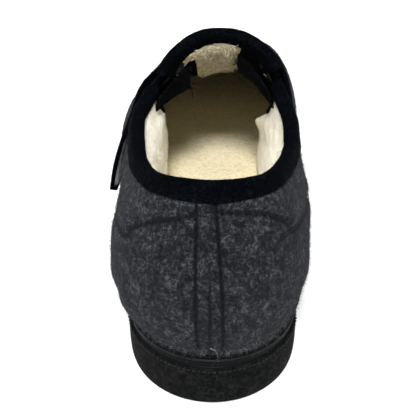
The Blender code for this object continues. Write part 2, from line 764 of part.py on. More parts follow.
def main():
    for thing in list(bpy.data.objects):
        bpy.data.objects.remove(thing, do_unlink=True)
    slipper = new_collection("felt_slipper")
    cutters = new_collection("cutters")
    rubber = finish_material("black_rubber", (0.018, 0.018, 0.018), 0.7)
    felt = finish_material("grey_felt", (0.085, 0.09, 0.1), 0.95)
    knit = finish_material("black_knit", (0.01, 0.011, 0.014), 0.9)
    elastic = finish_material("black_elastic", (0.008, 0.008, 0.009), 0.85)
    wool = finish_material("cream_wool", (0.75, 0.68, 0.5), 0.95)
    grip = finish_material("light_grey_grip", (0.4, 0.41, 0.42), 0.8)
    outsole(slipper, cutters, rubber)
    insole(slipper, wool)
    upper = felt_upper(slipper, felt)
    binding = collar_binding(slipper, knit)
    flap = tongue(slipper, felt)
    tongue_binding(slipper, knit)
    for row in GUSSETS:
        gusset(row, slipper, elastic)
    bpy.context.view_layer.update()
    supports = [evaluated_copy(thing) for thing in (upper, binding, flap)]
    grid = [strap_line(supports, i / (STRAP_LINES - 1)) for i in range(STRAP_LINES)]
    for work in supports:
        work.free()
    instep_strap(grid, slipper, felt)
    hook_patch(grid, slipper, grip)
    centre_on_floor(slipper, cutters)


main()
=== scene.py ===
"""Looks of the felt slipper: marl felt, fleece, knit bindings, elastic gussets and the rubber sole."""

import math
import random

import bmesh
import bpy
import numpy as np
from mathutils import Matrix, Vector, noise
from mathutils.bvhtree import BVHTree
from mathutils.geometry import interpolate_bezier


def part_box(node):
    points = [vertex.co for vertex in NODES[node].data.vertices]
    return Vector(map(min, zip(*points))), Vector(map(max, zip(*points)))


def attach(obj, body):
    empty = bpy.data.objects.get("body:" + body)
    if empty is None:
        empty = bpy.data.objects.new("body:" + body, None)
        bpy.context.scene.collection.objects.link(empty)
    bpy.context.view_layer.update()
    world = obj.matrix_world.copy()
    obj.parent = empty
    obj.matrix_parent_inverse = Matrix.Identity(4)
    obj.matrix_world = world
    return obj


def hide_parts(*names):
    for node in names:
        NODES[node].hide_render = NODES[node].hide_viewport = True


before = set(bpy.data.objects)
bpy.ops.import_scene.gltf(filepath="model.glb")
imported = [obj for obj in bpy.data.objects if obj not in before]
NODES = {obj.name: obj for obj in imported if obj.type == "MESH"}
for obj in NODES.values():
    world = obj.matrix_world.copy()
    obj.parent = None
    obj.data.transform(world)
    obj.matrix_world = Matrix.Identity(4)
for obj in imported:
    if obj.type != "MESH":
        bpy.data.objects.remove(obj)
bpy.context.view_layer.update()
MM = 0.001

# The tables of the solids have the back of the sole at y = 0 and the slipper's line at x = 1.5
SOLE_LOW, SOLE_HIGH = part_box("outsole")
MIDDLE_X = (SOLE_LOW.x + SOLE_HIGH.x) / 2
LASTED_X = 1.5


def at(x, y, z):
    """A place given in millimetres from the back of the sole, in the scene's metres."""
    return Vector((MIDDLE_X + (x - LASTED_X) * MM, SOLE_LOW.y + y * MM, z * MM))


def millimetres(points):
    """Scene places as rows of millimetres from the back of the sole."""
    rows = np.array(points, float) / MM
    rows[:, 0] += LASTED_X - MIDDLE_X / MM
    rows[:, 1] -= SOLE_LOW.y / MM
    return rows


# Camera

FRAME_PIXELS = 416
FOCAL_PIXELS = 755.0
CAMERA_PLACE = (0.4, -214.0, 245.0)
CAMERA_TILT, CAMERA_TURN = math.radians(55.8), math.radians(0.4)


def set_camera():
    """Camera behind and above the heel, looking towards the toe."""
    data = bpy.data.cameras.new("camera")
    data.sensor_width = 36.0
    data.lens = FOCAL_PIXELS * data.sensor_width / FRAME_PIXELS
    data.clip_start = 0.01
    camera = bpy.data.objects.new("camera", data)
    camera.location = at(*CAMERA_PLACE)
    camera.rotation_euler = (CAMERA_TILT, 0.0, CAMERA_TURN)
    bpy.context.scene.collection.objects.link(camera)
    bpy.context.scene.camera = camera
    bpy.context.view_layer.update()
    return camera


camera = set_camera()


def sight_line(u, v):
    """Direction from the camera through a place in the picture."""
    middle = FRAME_PIXELS / 2
    ray = Vector(((u - middle) / FOCAL_PIXELS, (middle - v) / FOCAL_PIXELS, -1.0))
    return (camera.matrix_world.to_3x3() @ ray).normalized()


# Meshes

def solid_tree(name):
    """Search tree over a CAD node, for placing pieces on it."""
    work = bmesh.new()
    work.from_mesh(NODES[name].data)
    tree = BVHTree.FromBMesh(work)
    work.free()
    return tree


TREES = {name: solid_tree(name) for name in NODES}


def seen_on(name, u, v):
    """Place on a CAD node that the camera sees at a place in the picture."""
    return TREES[name].ray_cast(camera.location, sight_line(u, v))[0]


def put(name, mesh, material=None):
    """An object at the origin with this mesh."""
    thing = bpy.data.objects.new(name, mesh)
    bpy.context.scene.collection.objects.link(thing)
    if material:
        mesh.materials.clear()
        mesh.materials.append(material)
    return thing


def kept(name, work, material):
    """An object from an edited mesh, which is then freed."""
    mesh = bpy.data.meshes.new(name)
    work.to_mesh(mesh)
    work.free()
    mesh.shade_smooth()
    return put(name, mesh, material)


def mesh_from(name, points, faces, material=None):
    """An object from points in metres and faces, its faces turned outwards where it is closed."""
    work = bmesh.new()
    verts = [work.verts.new(p) for p in points]
    for face in faces:
        work.faces.new([verts[i] for i in face])
    bmesh.ops.remove_doubles(work, verts=work.verts, dist=1e-7)
    bmesh.ops.recalc_face_normals(work, faces=work.faces)
    return kept(name, work, material)


def quad_rows(rows, columns, close_columns=False):
    """Faces of a grid of points that are listed row by row."""
    last = columns if close_columns else columns - 1
    faces = []
    for r in range(rows - 1):
        for c in range(last):
            a, b = r * columns + c, r * columns + (c + 1) % columns
            faces.append((a, b, b + columns, a + columns))
    return faces


def applied(thing):
    """Applies an object's modifiers to its mesh."""
    bpy.context.view_layer.update()
    graph = bpy.context.evaluated_depsgraph_get()
    mesh = bpy.data.meshes.new_from_object(thing.evaluated_get(graph))
    thing.modifiers.clear()
    if thing.type == "MESH":
        thing.data = mesh
        return thing
    result = put(thing.name + "_mesh", mesh)
    bpy.data.objects.remove(thing)
    return result


def rounded(thing, rounds):
    """Adds the subdivision that rounds a piece off."""
    rounder = thing.modifiers.new("Rounder", "SUBSURF")
    rounder.levels = rounder.render_levels = rounds
    return thing


def walled(thing, thickness, offset):
    """Adds a wall of a thickness in millimetres to an open piece."""
    wall = thing.modifiers.new("Wall", "SOLIDIFY")
    wall.thickness = thickness * MM
    wall.offset = offset
    wall.use_rim = True
    return thing


def merged(node, bend=0.0, skew=0.0):
    """An editable merged copy of a CAD node, its flat pairs of triangles joined within angles in degrees."""
    work = bmesh.new()
    work.from_mesh(NODES[node].data)
    bmesh.ops.remove_doubles(work, verts=work.verts, dist=3e-6)
    if bend:
        bmesh.ops.join_triangles(
            work, faces=work.faces, angle_face_threshold=math.radians(bend),
            angle_shape_threshold=math.radians(skew))
    return work


def soft_copy(node, name, rounds, material):
    """A merged copy of a CAD node with its facets rounded off."""
    return applied(rounded(kept(name, merged(node, 50, 50), material), rounds))


def part_of(source, name, chosen, material):
    """A copy of the faces of a piece whose vertices are all chosen, and the places of its rim."""
    piece = put(name, source.data.copy(), material)
    work = bmesh.new()
    work.from_mesh(piece.data)
    gone = [f for f in work.faces if not all(chosen[v.index] for v in f.verts)]
    bmesh.ops.delete(work, geom=gone, context="FACES")
    rim = [v.co.copy() for v in work.verts if v.is_boundary]
    work.to_mesh(piece.data)
    work.free()
    return piece, rim


def coordinates(mesh):
    """Vertex places and normals of a mesh as rows."""
    places = np.empty(len(mesh.vertices) * 3)
    mesh.vertices.foreach_get("co", places)
    normals = np.empty(len(mesh.vertices) * 3)
    mesh.vertices.foreach_get("normal", normals)
    return places.reshape(-1, 3), normals.reshape(-1, 3)


def move_out(thing, amounts):
    """Moves each vertex along its normal by an amount in millimetres."""
    places, normals = coordinates(thing.data)
    places += normals * (np.asarray(amounts) * MM)[:, None]
    thing.data.vertices.foreach_set("co", places.ravel())
    thing.data.update()


def store(thing, name, values):
    """Keeps one number for each vertex as an attribute that materials and fibres can read."""
    layer = thing.data.attributes.new(name, "FLOAT", "POINT")
    layer.data.foreach_set("value", np.asarray(values, np.float32))


def unevenness(places, size, seed=0.0):
    """Smooth random heights between about -1 and 1 with features of a size in millimetres."""
    step = 1.0 / (size * MM)
    shift = Vector((seed * 17.3, seed * 5.1, seed * 9.7))
    return np.array([noise.noise(Vector(p) * step + shift) for p in places])


def roughen(thing, *waves):
    """Moves a surface in and out by waves of (height, size, seed), in millimetres."""
    places, _ = coordinates(thing.data)
    move_out(thing, sum(height * unevenness(places, size, seed) for height, size, seed in waves))


def smooth_path(points, count):
    """Evenly spaced places along a smooth line through the given ones."""
    fine = []
    for i in range(len(points) - 1):
        a, b = points[i], points[i + 1]
        before = points[i - 1] if i else a - (b - a)
        after = points[i + 2] if i + 2 < len(points) else b + (b - a)
        fine += interpolate_bezier(a, a + (b - before) / 6, b - (after - a) / 6, b, 12)[:-1]
    fine.append(points[-1])
    lengths = [0.0]
    for a, b in zip(fine, fine[1:]):
        lengths.append(lengths[-1] + (b - a).length)
    path, k = [], 0
    for i in range(count):
        target = lengths[-1] * i / (count - 1)
        while k < len(fine) - 2 and lengths[k + 1] < target:
            k += 1
        part = (target - lengths[k]) / max(lengths[k + 1] - lengths[k], 1e-12)
        path.append(fine[k].lerp(fine[k + 1], min(part, 1.0)))
    return path


def distance_to(places, path):
    """Distance in millimetres from each place to a line of points."""
    best = np.full(len(places), 1e9)
    for a, b in zip(path, path[1:]):
        a, along = np.array(a), np.array(b - a)
        share = np.clip(((places - a) @ along) / max(along @ along, 1e-16), 0, 1)
        gap = places - a - share[:, None] * along
        best = np.minimum(best, np.einsum("ij,ij->i", gap, gap))
    return np.sqrt(best) / MM


# The line inside the upper that its outer face is looked for from: its lean to the medial side and the
# stretch that this comes over, its ends and its greatest height; and how far off the search starts
SPINE_LEAN, SPINE_LEAN_FROM, SPINE_LEAN_OVER = 4.0, 60, 100
SPINE_REAR, SPINE_FRONT, SPINE_TOP = 34.0, 236.0, 58.0
SEARCH_FROM = 0.12


def on_felt(x, y, z):
    """The place on the upper's outer face that lies outwards or inwards of a place in millimetres."""
    start = at(x, y, z)
    lean = SPINE_LEAN * min(max(y - SPINE_LEAN_FROM, 0), SPINE_LEAN_OVER) / SPINE_LEAN_OVER
    spine = at(LASTED_X + lean, min(max(y, SPINE_REAR), SPINE_FRONT), min(z, SPINE_TOP))
    out = (start - spine).normalized()
    place = TREES["felt_upper"].ray_cast(spine + out * SEARCH_FROM, -out)[0]
    return place if place else start


# Materials

def group_tree(name, inputs, outputs):
    """A new shader node group with named sockets."""
    tree = bpy.data.node_groups.new(name, "ShaderNodeTree")
    for label, kind, value in inputs:
        socket = tree.interface.new_socket(label, in_out="INPUT", socket_type="NodeSocket" + kind)
        socket.default_value = value
    for label, kind in outputs:
        tree.interface.new_socket(label, in_out="OUTPUT", socket_type="NodeSocket" + kind)
    return tree, tree.nodes.new("NodeGroupInput"), tree.nodes.new("NodeGroupOutput")


def feed(tree, socket, value):
    """Links a value's socket to an input, or sets the plain value on it."""
    if isinstance(value, bpy.types.NodeSocket):
        tree.links.new(value, socket)
    else:
        socket.default_value = value


def place_node(tree, kind, inputs=(), **settings):
    """Adds a node; inputs are (socket, value or output socket) pairs."""
    node = tree.nodes.new(kind)
    for key, value in settings.items():
        setattr(node, key, value)
    for key, value in inputs:
        feed(tree, node.inputs[key], value)
    return node


def arithmetic(tree, operation, a, b=0.0):
    """A Math node's result."""
    return place_node(tree, "ShaderNodeMath", ((0, a), (1, b)), operation=operation).outputs[0]


def spread(tree, value, low, high, to_low=0.0, to_high=1.0):
    """A value mapped smoothly from one range to another."""
    pairs = (("Value", value), ("From Min", low), ("From Max", high), ("To Min", to_low), ("To Max", to_high))
    return place_node(tree, "ShaderNodeMapRange", pairs, interpolation_type="SMOOTHSTEP").outputs[0]


def mixed(tree, share, a, b):
    """A colour between two colours."""
    return place_node(tree, "ShaderNodeMix", ((0, share), (6, a), (7, b)), data_type="RGBA").outputs[2]


def colour(r, g, b):
    """A colour with full cover."""
    return (r, g, b, 1.0)


def cloudy(tree, place, scale, detail=3.0, roughness=0.55, distortion=0.0, stretch=(1, 1, 1), turn=(0, 0, 0)):
    """Noise over the object's own coordinates, stretched and turned first."""
    pairs = (("Vector", place), ("Scale", stretch), ("Rotation", turn))
    mapping = place_node(tree, "ShaderNodeMapping", pairs)
    pairs = (
        ("Vector", mapping.outputs[0]), ("Scale", scale), ("Detail", detail),
        ("Roughness", roughness), ("Distortion", distortion),
    )
    return place_node(tree, "ShaderNodeTexNoise", pairs).outputs["Fac"]


def make_marl_group():
    """Marl felt: dark ground with lighter tangled fibres, as a colour and a height."""
    tree, given, result = group_tree(
        "marl felt",
        (("Ground", "Color", colour(0.012, 0.014, 0.018)), ("Fibre", "Color", colour(0.09, 0.1, 0.12)),
         ("Amount", "Float", 1.0)),
        (("Color", "Color"), ("Height", "Float")),
    )
    place = place_node(tree, "ShaderNodeTexCoord").outputs["Object"]
    tufts = cloudy(tree, place, 420.0, 3.0, 0.6, 0.0)
    rising = cloudy(tree, place, 1150.0, 3.0, 0.6, 0.0, (1.0, 1.0, 0.4), (0.3, 0.5, 0.2))
    lying = cloudy(tree, place, 1150.0, 3.0, 0.6, 0.0, (0.4, 1.0, 1.0), (0.4, -0.5, 0.7))
    crossing = cloudy(tree, place, 1150.0, 3.0, 0.6, 0.0, (1.0, 0.45, 0.7), (0.9, 0.3, -0.6))
    fine = cloudy(tree, place, 2200.0, 2.0, 0.6)
    broad = cloudy(tree, place, 120.0, 3.0, 0.6)
    strands = arithmetic(tree, "MAXIMUM", spread(tree, rising, 0.5, 0.7), spread(tree, lying, 0.5, 0.7))
    strands = arithmetic(tree, "MAXIMUM", strands, spread(tree, crossing, 0.52, 0.74))
    patches = spread(tree, tufts, 0.36, 0.66, 0.15, 1.0)
    light = arithmetic(tree, "MULTIPLY", strands, patches)
    light = arithmetic(tree, "ADD", light, arithmetic(tree, "MULTIPLY", patches, 0.16))
    light = arithmetic(tree, "MULTIPLY", light, spread(tree, fine, 0.25, 0.75, 0.72, 1.25))
    light = arithmetic(tree, "MULTIPLY", light, spread(tree, broad, 0.34, 0.66, 0.42, 1.4))
    light = arithmetic(tree, "MULTIPLY", light, given.outputs["Amount"])
    tone = mixed(tree, light, given.outputs["Ground"], given.outputs["Fibre"])
    height = arithmetic(tree, "MULTIPLY", tufts, 0.6)
    height = arithmetic(tree, "ADD", height, arithmetic(tree, "MULTIPLY", light, 0.5))
    height = arithmetic(tree, "ADD", height, arithmetic(tree, "MULTIPLY", fine, 0.3))
    tree.links.new(tone, result.inputs["Color"])
    tree.links.new(height, result.inputs["Height"])
    return tree


def make_pile_group():
    """Wool pile: soft clumps, with painted shade darkening the hollows between them, as a colour and a
    height.
    """
    tree, given, result = group_tree(
        "wool pile",
        (("Tips", "Color", colour(0.85, 0.82, 0.7)), ("Roots", "Color", colour(0.6, 0.55, 0.4)),
         ("Clump size", "Float", 3.0)),
        (("Color", "Color"), ("Height", "Float")),
    )
    place = place_node(tree, "ShaderNodeTexCoord").outputs["Object"]
    scale = arithmetic(tree, "DIVIDE", 1000.0, given.outputs["Clump size"])
    clumps = cloudy(tree, place, scale, 4.0, 0.6, 0.8)
    wisps = cloudy(tree, place, arithmetic(tree, "MULTIPLY", scale, 3.5), 3.0, 0.6, 1.5)
    height = arithmetic(tree, "ADD", clumps, arithmetic(tree, "MULTIPLY", wisps, 0.35))
    # Painted shade: the tone darkens in the low hollows between the clumps.
    tone = mixed(tree, spread(tree, height, 0.42, 0.8), given.outputs["Roots"], given.outputs["Tips"])
    tree.links.new(tone, result.inputs["Color"])
    tree.links.new(height, result.inputs["Height"])
    return tree


def make_knit_group():
    """Knit tape: short ribs broken up by fuzz, as a mask and a height."""
    tree, given, result = group_tree(
        "knit tape", (("Rib", "Float", 1.1),), (("Mask", "Float"), ("Height", "Float"))
    )
    place = place_node(tree, "ShaderNodeTexCoord").outputs["Object"]
    scale = arithmetic(tree, "DIVIDE", 1000.0, given.outputs["Rib"])
    loops = place_node(
        tree, "ShaderNodeTexVoronoi", (("Vector", place), ("Scale", scale), ("Randomness", 0.75))
    ).outputs["Distance"]
    fuzz = cloudy(tree, place, 900.0, 4.0, 0.65, 0.8)
    broad = cloudy(tree, place, 110.0, 3.0, 0.55)
    height = arithmetic(tree, "SUBTRACT", arithmetic(tree, "MULTIPLY", fuzz, 0.9), loops)
    patches = spread(tree, broad, 0.35, 0.65, 0.3, 1.0)
    mask = arithmetic(tree, "MULTIPLY", spread(tree, fuzz, 0.4, 0.72), patches)
    tree.links.new(mask, result.inputs["Mask"])
    tree.links.new(height, result.inputs["Height"])
    return tree


def make_line_group():
    """A soft line where a signed distance in millimetres passes zero."""
    tree, given, result = group_tree(
        "sewn line", (("Distance", "Float", 0.0), ("Half width", "Float", 0.6)), (("Mask", "Float"),)
    )
    away = arithmetic(tree, "ABSOLUTE", given.outputs["Distance"])
    share = arithmetic(tree, "DIVIDE", away, given.outputs["Half width"])
    tree.links.new(spread(tree, share, 0.25, 1.6, 1.0, 0.0), result.inputs["Mask"])
    return tree


MARL = make_marl_group()
PILE = make_pile_group()
KNIT = make_knit_group()
LINE = make_line_group()


def new_material(name, roughness, sheen=0.0, sheen_tint=(1, 1, 1), specular=0.3):
    """A material with its shader set up, and its tree."""
    material = bpy.data.materials.new(name)
    material.use_nodes = True
    tree = material.node_tree
    shader = tree.nodes["Principled BSDF"]
    shader.inputs["Roughness"].default_value = roughness
    shader.inputs["Sheen Weight"].default_value = sheen
    shader.inputs["Sheen Roughness"].default_value = 0.6
    shader.inputs["Sheen Tint"].default_value = (*sheen_tint, 1.0)
    shader.inputs["Specular IOR Level"].default_value = specular
    return material, tree, shader


def use_group(tree, group, **values):
    """Places a node group in a material with its own values."""
    node = tree.nodes.new("ShaderNodeGroup")
    node.node_tree = group
    for key, value in values.items():
        feed(tree, node.inputs[key.replace("_", " ")], value)
    return node


def raise_surface(tree, shader, height, depth, strength=1.0):
    """Feeds a height in millimetres of relief to the shader's normal."""
    bump = place_node(
        tree, "ShaderNodeBump", (("Height", height), ("Distance", depth * MM), ("Strength", strength))
    )
    tree.links.new(bump.outputs[0], shader.inputs["Normal"])


def stored(tree, name):
    """An attribute of the piece's own mesh."""
    return place_node(tree, "ShaderNodeAttribute", attribute_name=name).outputs["Fac"]


def felt_material(name, sewn=(), loops=False):
    """Grey marl felt, darker along its sewn lines, with a pale looped face where loops is set."""
    material, tree, shader = new_material(name, 0.95, 0.03, (0.75, 0.8, 0.9), 0.06)
    marl = use_group(tree, MARL, Ground=colour(0.003, 0.0034, 0.0043), Fibre=colour(0.074, 0.077, 0.084))
    tone, height = marl.outputs["Color"], marl.outputs["Height"]
    for label, half_width, dark in sewn:
        line = use_group(tree, LINE, Distance=stored(tree, label), Half_width=half_width).outputs["Mask"]
        tone = mixed(tree, arithmetic(tree, "MULTIPLY", line, dark), tone, colour(0.0022, 0.0026, 0.0038))
        height = arithmetic(tree, "SUBTRACT", height, arithmetic(tree, "MULTIPLY", line, 0.9))
    if loops:
        tone = mixed(tree, stored(tree, "loop_face"), tone, colour(0.55, 0.56, 0.57))
    tree.links.new(tone, shader.inputs["Base Color"])
    raise_surface(tree, shader, height, 0.9, 0.8)
    return material


def wool_material(name, tips, hollow_shade, clump, depth, sheen=0.25):
    """Cream wool pile."""
    material, tree, shader = new_material(name, 0.95, sheen, (1.0, 0.97, 0.88), 0.1)
    pile = use_group(tree, PILE, Tips=colour(*tips), Roots=colour(*hollow_shade), Clump_size=clump)
    tree.links.new(pile.outputs["Color"], shader.inputs["Base Color"])
    raise_surface(tree, shader, pile.outputs["Height"], depth, 0.8)
    return material


def knit_material(name, ground, fuzz, rib):
    """Black knit tape."""
    material, tree, shader = new_material(name, 0.95, 0.0, (0.6, 0.75, 0.9), 0.02)
    knit = use_group(tree, KNIT, Rib=rib)
    tone = mixed(tree, knit.outputs["Mask"], colour(*ground), colour(*fuzz))
    tree.links.new(tone, shader.inputs["Base Color"])
    raise_surface(tree, shader, knit.outputs["Height"], 0.5, 0.7)
    return material


def rubber_material():
    """Black rubber: smooth rand, mottled grain on the side below it."""
    material, tree, shader = new_material("sole_rubber", 0.6, specular=0.045)
    place = place_node(tree, "ShaderNodeTexCoord").outputs["Object"]
    grainy = stored(tree, "grain")
    grain = cloudy(tree, place, 1500.0, 3.0, 0.6)
    mottle = cloudy(tree, place, 420.0, 4.0, 0.65, 0.8)
    dust = cloudy(tree, place, 130.0, 4.0, 0.6)
    dark, pale = colour(0.0013, 0.0017, 0.0016), colour(0.0112, 0.0122, 0.011)
    rough_tone = mixed(tree, spread(tree, mottle, 0.4, 0.72), dark, pale)
    dusty = spread(tree, dust, 0.5, 0.8, 0.0, 0.4)
    rough_tone = mixed(tree, dusty, rough_tone, colour(0.0165, 0.0185, 0.0165))
    tone = mixed(tree, grainy, colour(0.0022, 0.0028, 0.003), rough_tone)
    tree.links.new(tone, shader.inputs["Base Color"])
    tree.links.new(spread(tree, grainy, 0.0, 1.0, 0.36, 0.85), shader.inputs["Roughness"])
    relief = arithmetic(tree, "ADD", arithmetic(tree, "MULTIPLY", grain, 0.6), mottle)
    relief = arithmetic(tree, "MULTIPLY", relief, spread(tree, grainy, 0.0, 1.0, 0.06, 1.0))
    raise_surface(tree, shader, relief, 0.5, 0.8)
    return material


def fibre_material(name, tone, tip, roughness=0.9, specular=0.06):
    """Finish of loose fibres and threads, varied a little from place to place."""
    material, tree, shader = new_material(name, roughness, specular=specular)
    place = place_node(tree, "ShaderNodeTexCoord").outputs["Object"]
    varied = cloudy(tree, place, 300.0, 2.0)
    tone = mixed(tree, spread(tree, varied, 0.3, 0.7), colour(*tone), colour(*tip))
    tree.links.new(tone, shader.inputs["Base Color"])
    return material


SEWN_ON_UPPER = (
    ("back_left_line", 0.85, 0.95), ("back_right_line", 0.85, 0.95), ("back_seam_line", 0.8, 0.9),
    ("counter_line", 1.1, 0.85), ("quarter_line", 0.9, 0.8),
)
FELT = felt_material("marl_felt", SEWN_ON_UPPER)
STRAP_FELT = felt_material("strap_felt")
LINED_FELT = felt_material("lined_strap_felt", loops=True)
WOOL = wool_material("insole_wool", (0.86, 0.77, 0.52), (0.66, 0.56, 0.34), 2.2, 0.8)
FLEECE = wool_material("lining_fleece", (0.93, 0.9, 0.79), (0.74, 0.68, 0.53), 3.5, 1.2, 0.5)
# The tongue's cream fleece, darkened and yellowed as painted shade for its place under the tongue.
PAINTED_SHADE_FLEECE_OF_TONGUE = wool_material("tongue_fleece", (0.55, 0.5, 0.36), (0.32, 0.27, 0.165), 2.8, 1.6, 0.05)
TAPE = knit_material("binding_knit", (0.0004, 0.0006, 0.0012), (0.0036, 0.005, 0.0072), 1.1)
ELASTIC = knit_material("gusset_elastic", (0.0014, 0.0016, 0.002), (0.007, 0.0076, 0.0086), 0.8)
RUBBER = rubber_material()
GRIP = knit_material("grip_patch", (0.09, 0.094, 0.1), (0.27, 0.28, 0.29), 0.7)
FELT_HAIR = fibre_material("felt_hair", (0.0046, 0.005, 0.0058), (0.03, 0.0315, 0.0345))
# Pale fibre: the real seam knot and lint fleck, and the frizz on the felt's bottom edge, where its pale tone
# is painted light that makes the lower edge look lit.
LINT_AND_PAINTED_LIGHT_FRIZZ_FIBRE = fibre_material("felt_edge_hair", (0.03, 0.032, 0.036), (0.13, 0.135, 0.145))
WOOL_HAIR = fibre_material("wool_hair", (0.8, 0.73, 0.54), (0.88, 0.84, 0.7))
FLEECE_HAIR = fibre_material("fleece_hair", (0.87, 0.84, 0.72), (0.93, 0.91, 0.83))
# Hairs of the tongue's fleece, darkened as painted shade like the fleece.
PAINTED_SHADE_HAIR_OF_TONGUE = fibre_material("tongue_hair", (0.46, 0.41, 0.28), (0.68, 0.63, 0.49))
BLACK_HAIR = fibre_material("black_hair", (0.0012, 0.0016, 0.0022), (0.005, 0.006, 0.008), 0.95, 0.02)
THREAD = fibre_material("black_thread", (0.0025, 0.003, 0.004), (0.006, 0.007, 0.008), 0.7)
BUMP_RUBBER = fibre_material("bump_rubber", (0.0022, 0.0026, 0.0026), (0.006, 0.0064, 0.0064), 0.42, 0.14)


# Fibres and stitches

def geometry_tree(name, inputs):
    """A new geometry node tree with named inputs."""
    tree = bpy.data.node_groups.new(name, "GeometryNodeTree")
    tree.interface.new_socket("Geometry", in_out="INPUT", socket_type="NodeSocketGeometry")
    for label, kind, value in inputs:
        socket = tree.interface.new_socket(label, in_out="INPUT", socket_type="NodeSocket" + kind)
        if value is not None:
            socket.default_value = value
    tree.interface.new_socket("Geometry", in_out="OUTPUT", socket_type="NodeSocketGeometry")
    return tree, tree.nodes.new("NodeGroupInput"), tree.nodes.new("NodeGroupOutput")


def chance_between(tree, low, high, seed):
    """A random number between two values for each point."""
    pairs = ((2, low), (3, high), ("Seed", seed))
    return place_node(tree, "FunctionNodeRandomValue", pairs, data_type="FLOAT").outputs[1]


def repeat_shape(tree, given, result, points, rotation, size):
    """Puts the given shape at each point, as one plain mesh of the given material."""
    shape = place_node(tree, "GeometryNodeObjectInfo", (("Object", given.outputs["Shape"]),))
    placed = place_node(tree, "GeometryNodeInstanceOnPoints", (
        ("Points", points), ("Instance", shape.outputs["Geometry"]), ("Rotation", rotation), ("Scale", size)))
    real = place_node(tree, "GeometryNodeRealizeInstances", (("Geometry", placed.outputs[0]),))
    finish = place_node(tree, "GeometryNodeSetMaterial", (
        ("Geometry", real.outputs[0]), ("Material", given.outputs["Material"])))
    tree.links.new(finish.outputs[0], result.inputs[0])
    return tree


def make_fibre_tree():
    """Small hairs or locks scattered over a surface, leaning by chance, densest where cover is 1."""
    tree, given, result = geometry_tree(
        "scattered fibres",
        (("Shape", "Object", None), ("Density", "Float", 1e6), ("Length", "Float", 1.0),
         ("Shortest", "Float", 0.6), ("Lean", "Float", 0.6), ("Seed", "Int", 1),
         ("Material", "Material", None)),
    )
    sizes = given.outputs
    cover = place_node(tree, "GeometryNodeInputNamedAttribute", (("Name", "cover"),), data_type="FLOAT")
    density = arithmetic(tree, "MULTIPLY", cover.outputs[0], sizes["Density"])
    scatter = place_node(tree, "GeometryNodeDistributePointsOnFaces", (
        ("Mesh", sizes["Geometry"]), ("Density", density), ("Seed", sizes["Seed"])))
    least_lean = arithmetic(tree, "MULTIPLY", sizes["Lean"], -1.0)
    ends = [
        place_node(tree, "ShaderNodeCombineXYZ", ((0, lean), (1, lean), (2, turn))).outputs[0]
        for lean, turn in ((least_lean, -3.1416), (sizes["Lean"], 3.1416))
    ]
    chance = place_node(tree, "FunctionNodeRandomValue", (
        (0, ends[0]), (1, ends[1]), ("Seed", sizes["Seed"])), data_type="FLOAT_VECTOR").outputs[0]
    turned = place_node(tree, "FunctionNodeRotateEuler", (
        ("Rotation", scatter.outputs["Rotation"]), ("Rotate By", chance)), space="LOCAL").outputs[0]
    shortest = arithmetic(tree, "MULTIPLY", sizes["Length"], sizes["Shortest"])
    size = chance_between(tree, shortest, sizes["Length"], sizes["Seed"])
    return repeat_shape(tree, given, result, scatter.outputs["Points"], turned, size)


def make_row_tree():
    """A small shape repeated along a path at an even spacing, such as stitches."""
    tree, given, result = geometry_tree(
        "row along a path",
        (("Shape", "Object", None), ("Spacing", "Float", 0.003), ("Size", "Float", 1.0), ("Seed", "Int", 1),
         ("Material", "Material", None)),
    )
    sizes = given.outputs
    points = place_node(tree, "GeometryNodeCurveToPoints", (
        ("Curve", sizes["Geometry"]), ("Length", sizes["Spacing"])), mode="LENGTH")
    smallest = arithmetic(tree, "MULTIPLY", sizes["Size"], 0.75)
    size = chance_between(tree, smallest, sizes["Size"], sizes["Seed"])
    return repeat_shape(tree, given, result, points.outputs["Points"], points.outputs["Rotation"], size)


FIBRES = make_fibre_tree()
ROW = make_row_tree()


def run_tree(thing, tree, **values):
    """Runs a node tree on an object with these inputs and keeps the plain mesh that it makes."""
    modifier = thing.modifiers.new("Tree", "NODES")
    modifier.node_group = tree
    for item in tree.interface.items_tree:
        if item.item_type == "SOCKET" and item.in_out == "INPUT" and item.name in values:
            modifier[item.identifier] = values[item.name]
    return applied(thing)


def bent_hair(name, length, width, bend):
    """A flat tapering hair, rooted at the origin and rising along +Z."""
    points, steps = [], 3
    for i in range(steps + 1):
        t = i / steps
        half = width / 2 * (1 - 0.75 * t)
        side = bend * t * t
        points += [(side, -half, length * t), (side, half, length * t)]
    faces = [(2 * i, 2 * i + 1, 2 * i + 3, 2 * i + 2) for i in range(steps)]
    return mesh_from(name, [Vector(p) * MM for p in points], faces)


def ringed(name, rings, sides):
    """A closed shape through level rings of (centre, radius) in millimetres."""
    points = []
    for centre, radius in rings:
        for j in range(sides):
            around = 2 * math.pi * j / sides
            points.append(centre + Vector((radius * math.cos(around), radius * math.sin(around), 0)))
    top = (len(rings) - 1) * sides
    faces = quad_rows(len(rings), sides, close_columns=True)
    faces += [tuple(reversed(range(sides))), tuple(top + j for j in range(sides))]
    return mesh_from(name, [p * MM for p in points], faces)


def curled_lock(name, length, width, turns):
    """A tapering curl of wool, rooted at the origin."""
    rings, steps = [], 6
    for i in range(steps + 1):
        t = i / steps
        angle = turns * 2 * math.pi * t
        aside = 0.32 * length * t
        centre = Vector((aside * math.cos(angle), aside * math.sin(angle), length * t))
        rings.append((centre, width / 2 * (1 - 0.8 * t * t)))
    return ringed(name, rings, 4)


def capsule(name, length, radius):
    """A rounded bead lying along Z, for a stitch or a moulded bump."""
    profile = ((-0.5, 0.35), (-0.38, 0.85), (0.0, 1.0), (0.38, 0.85), (0.5, 0.35))
    return ringed(name, [(Vector((0, 0, share * length)), wide * radius) for share, wide in profile], 6)


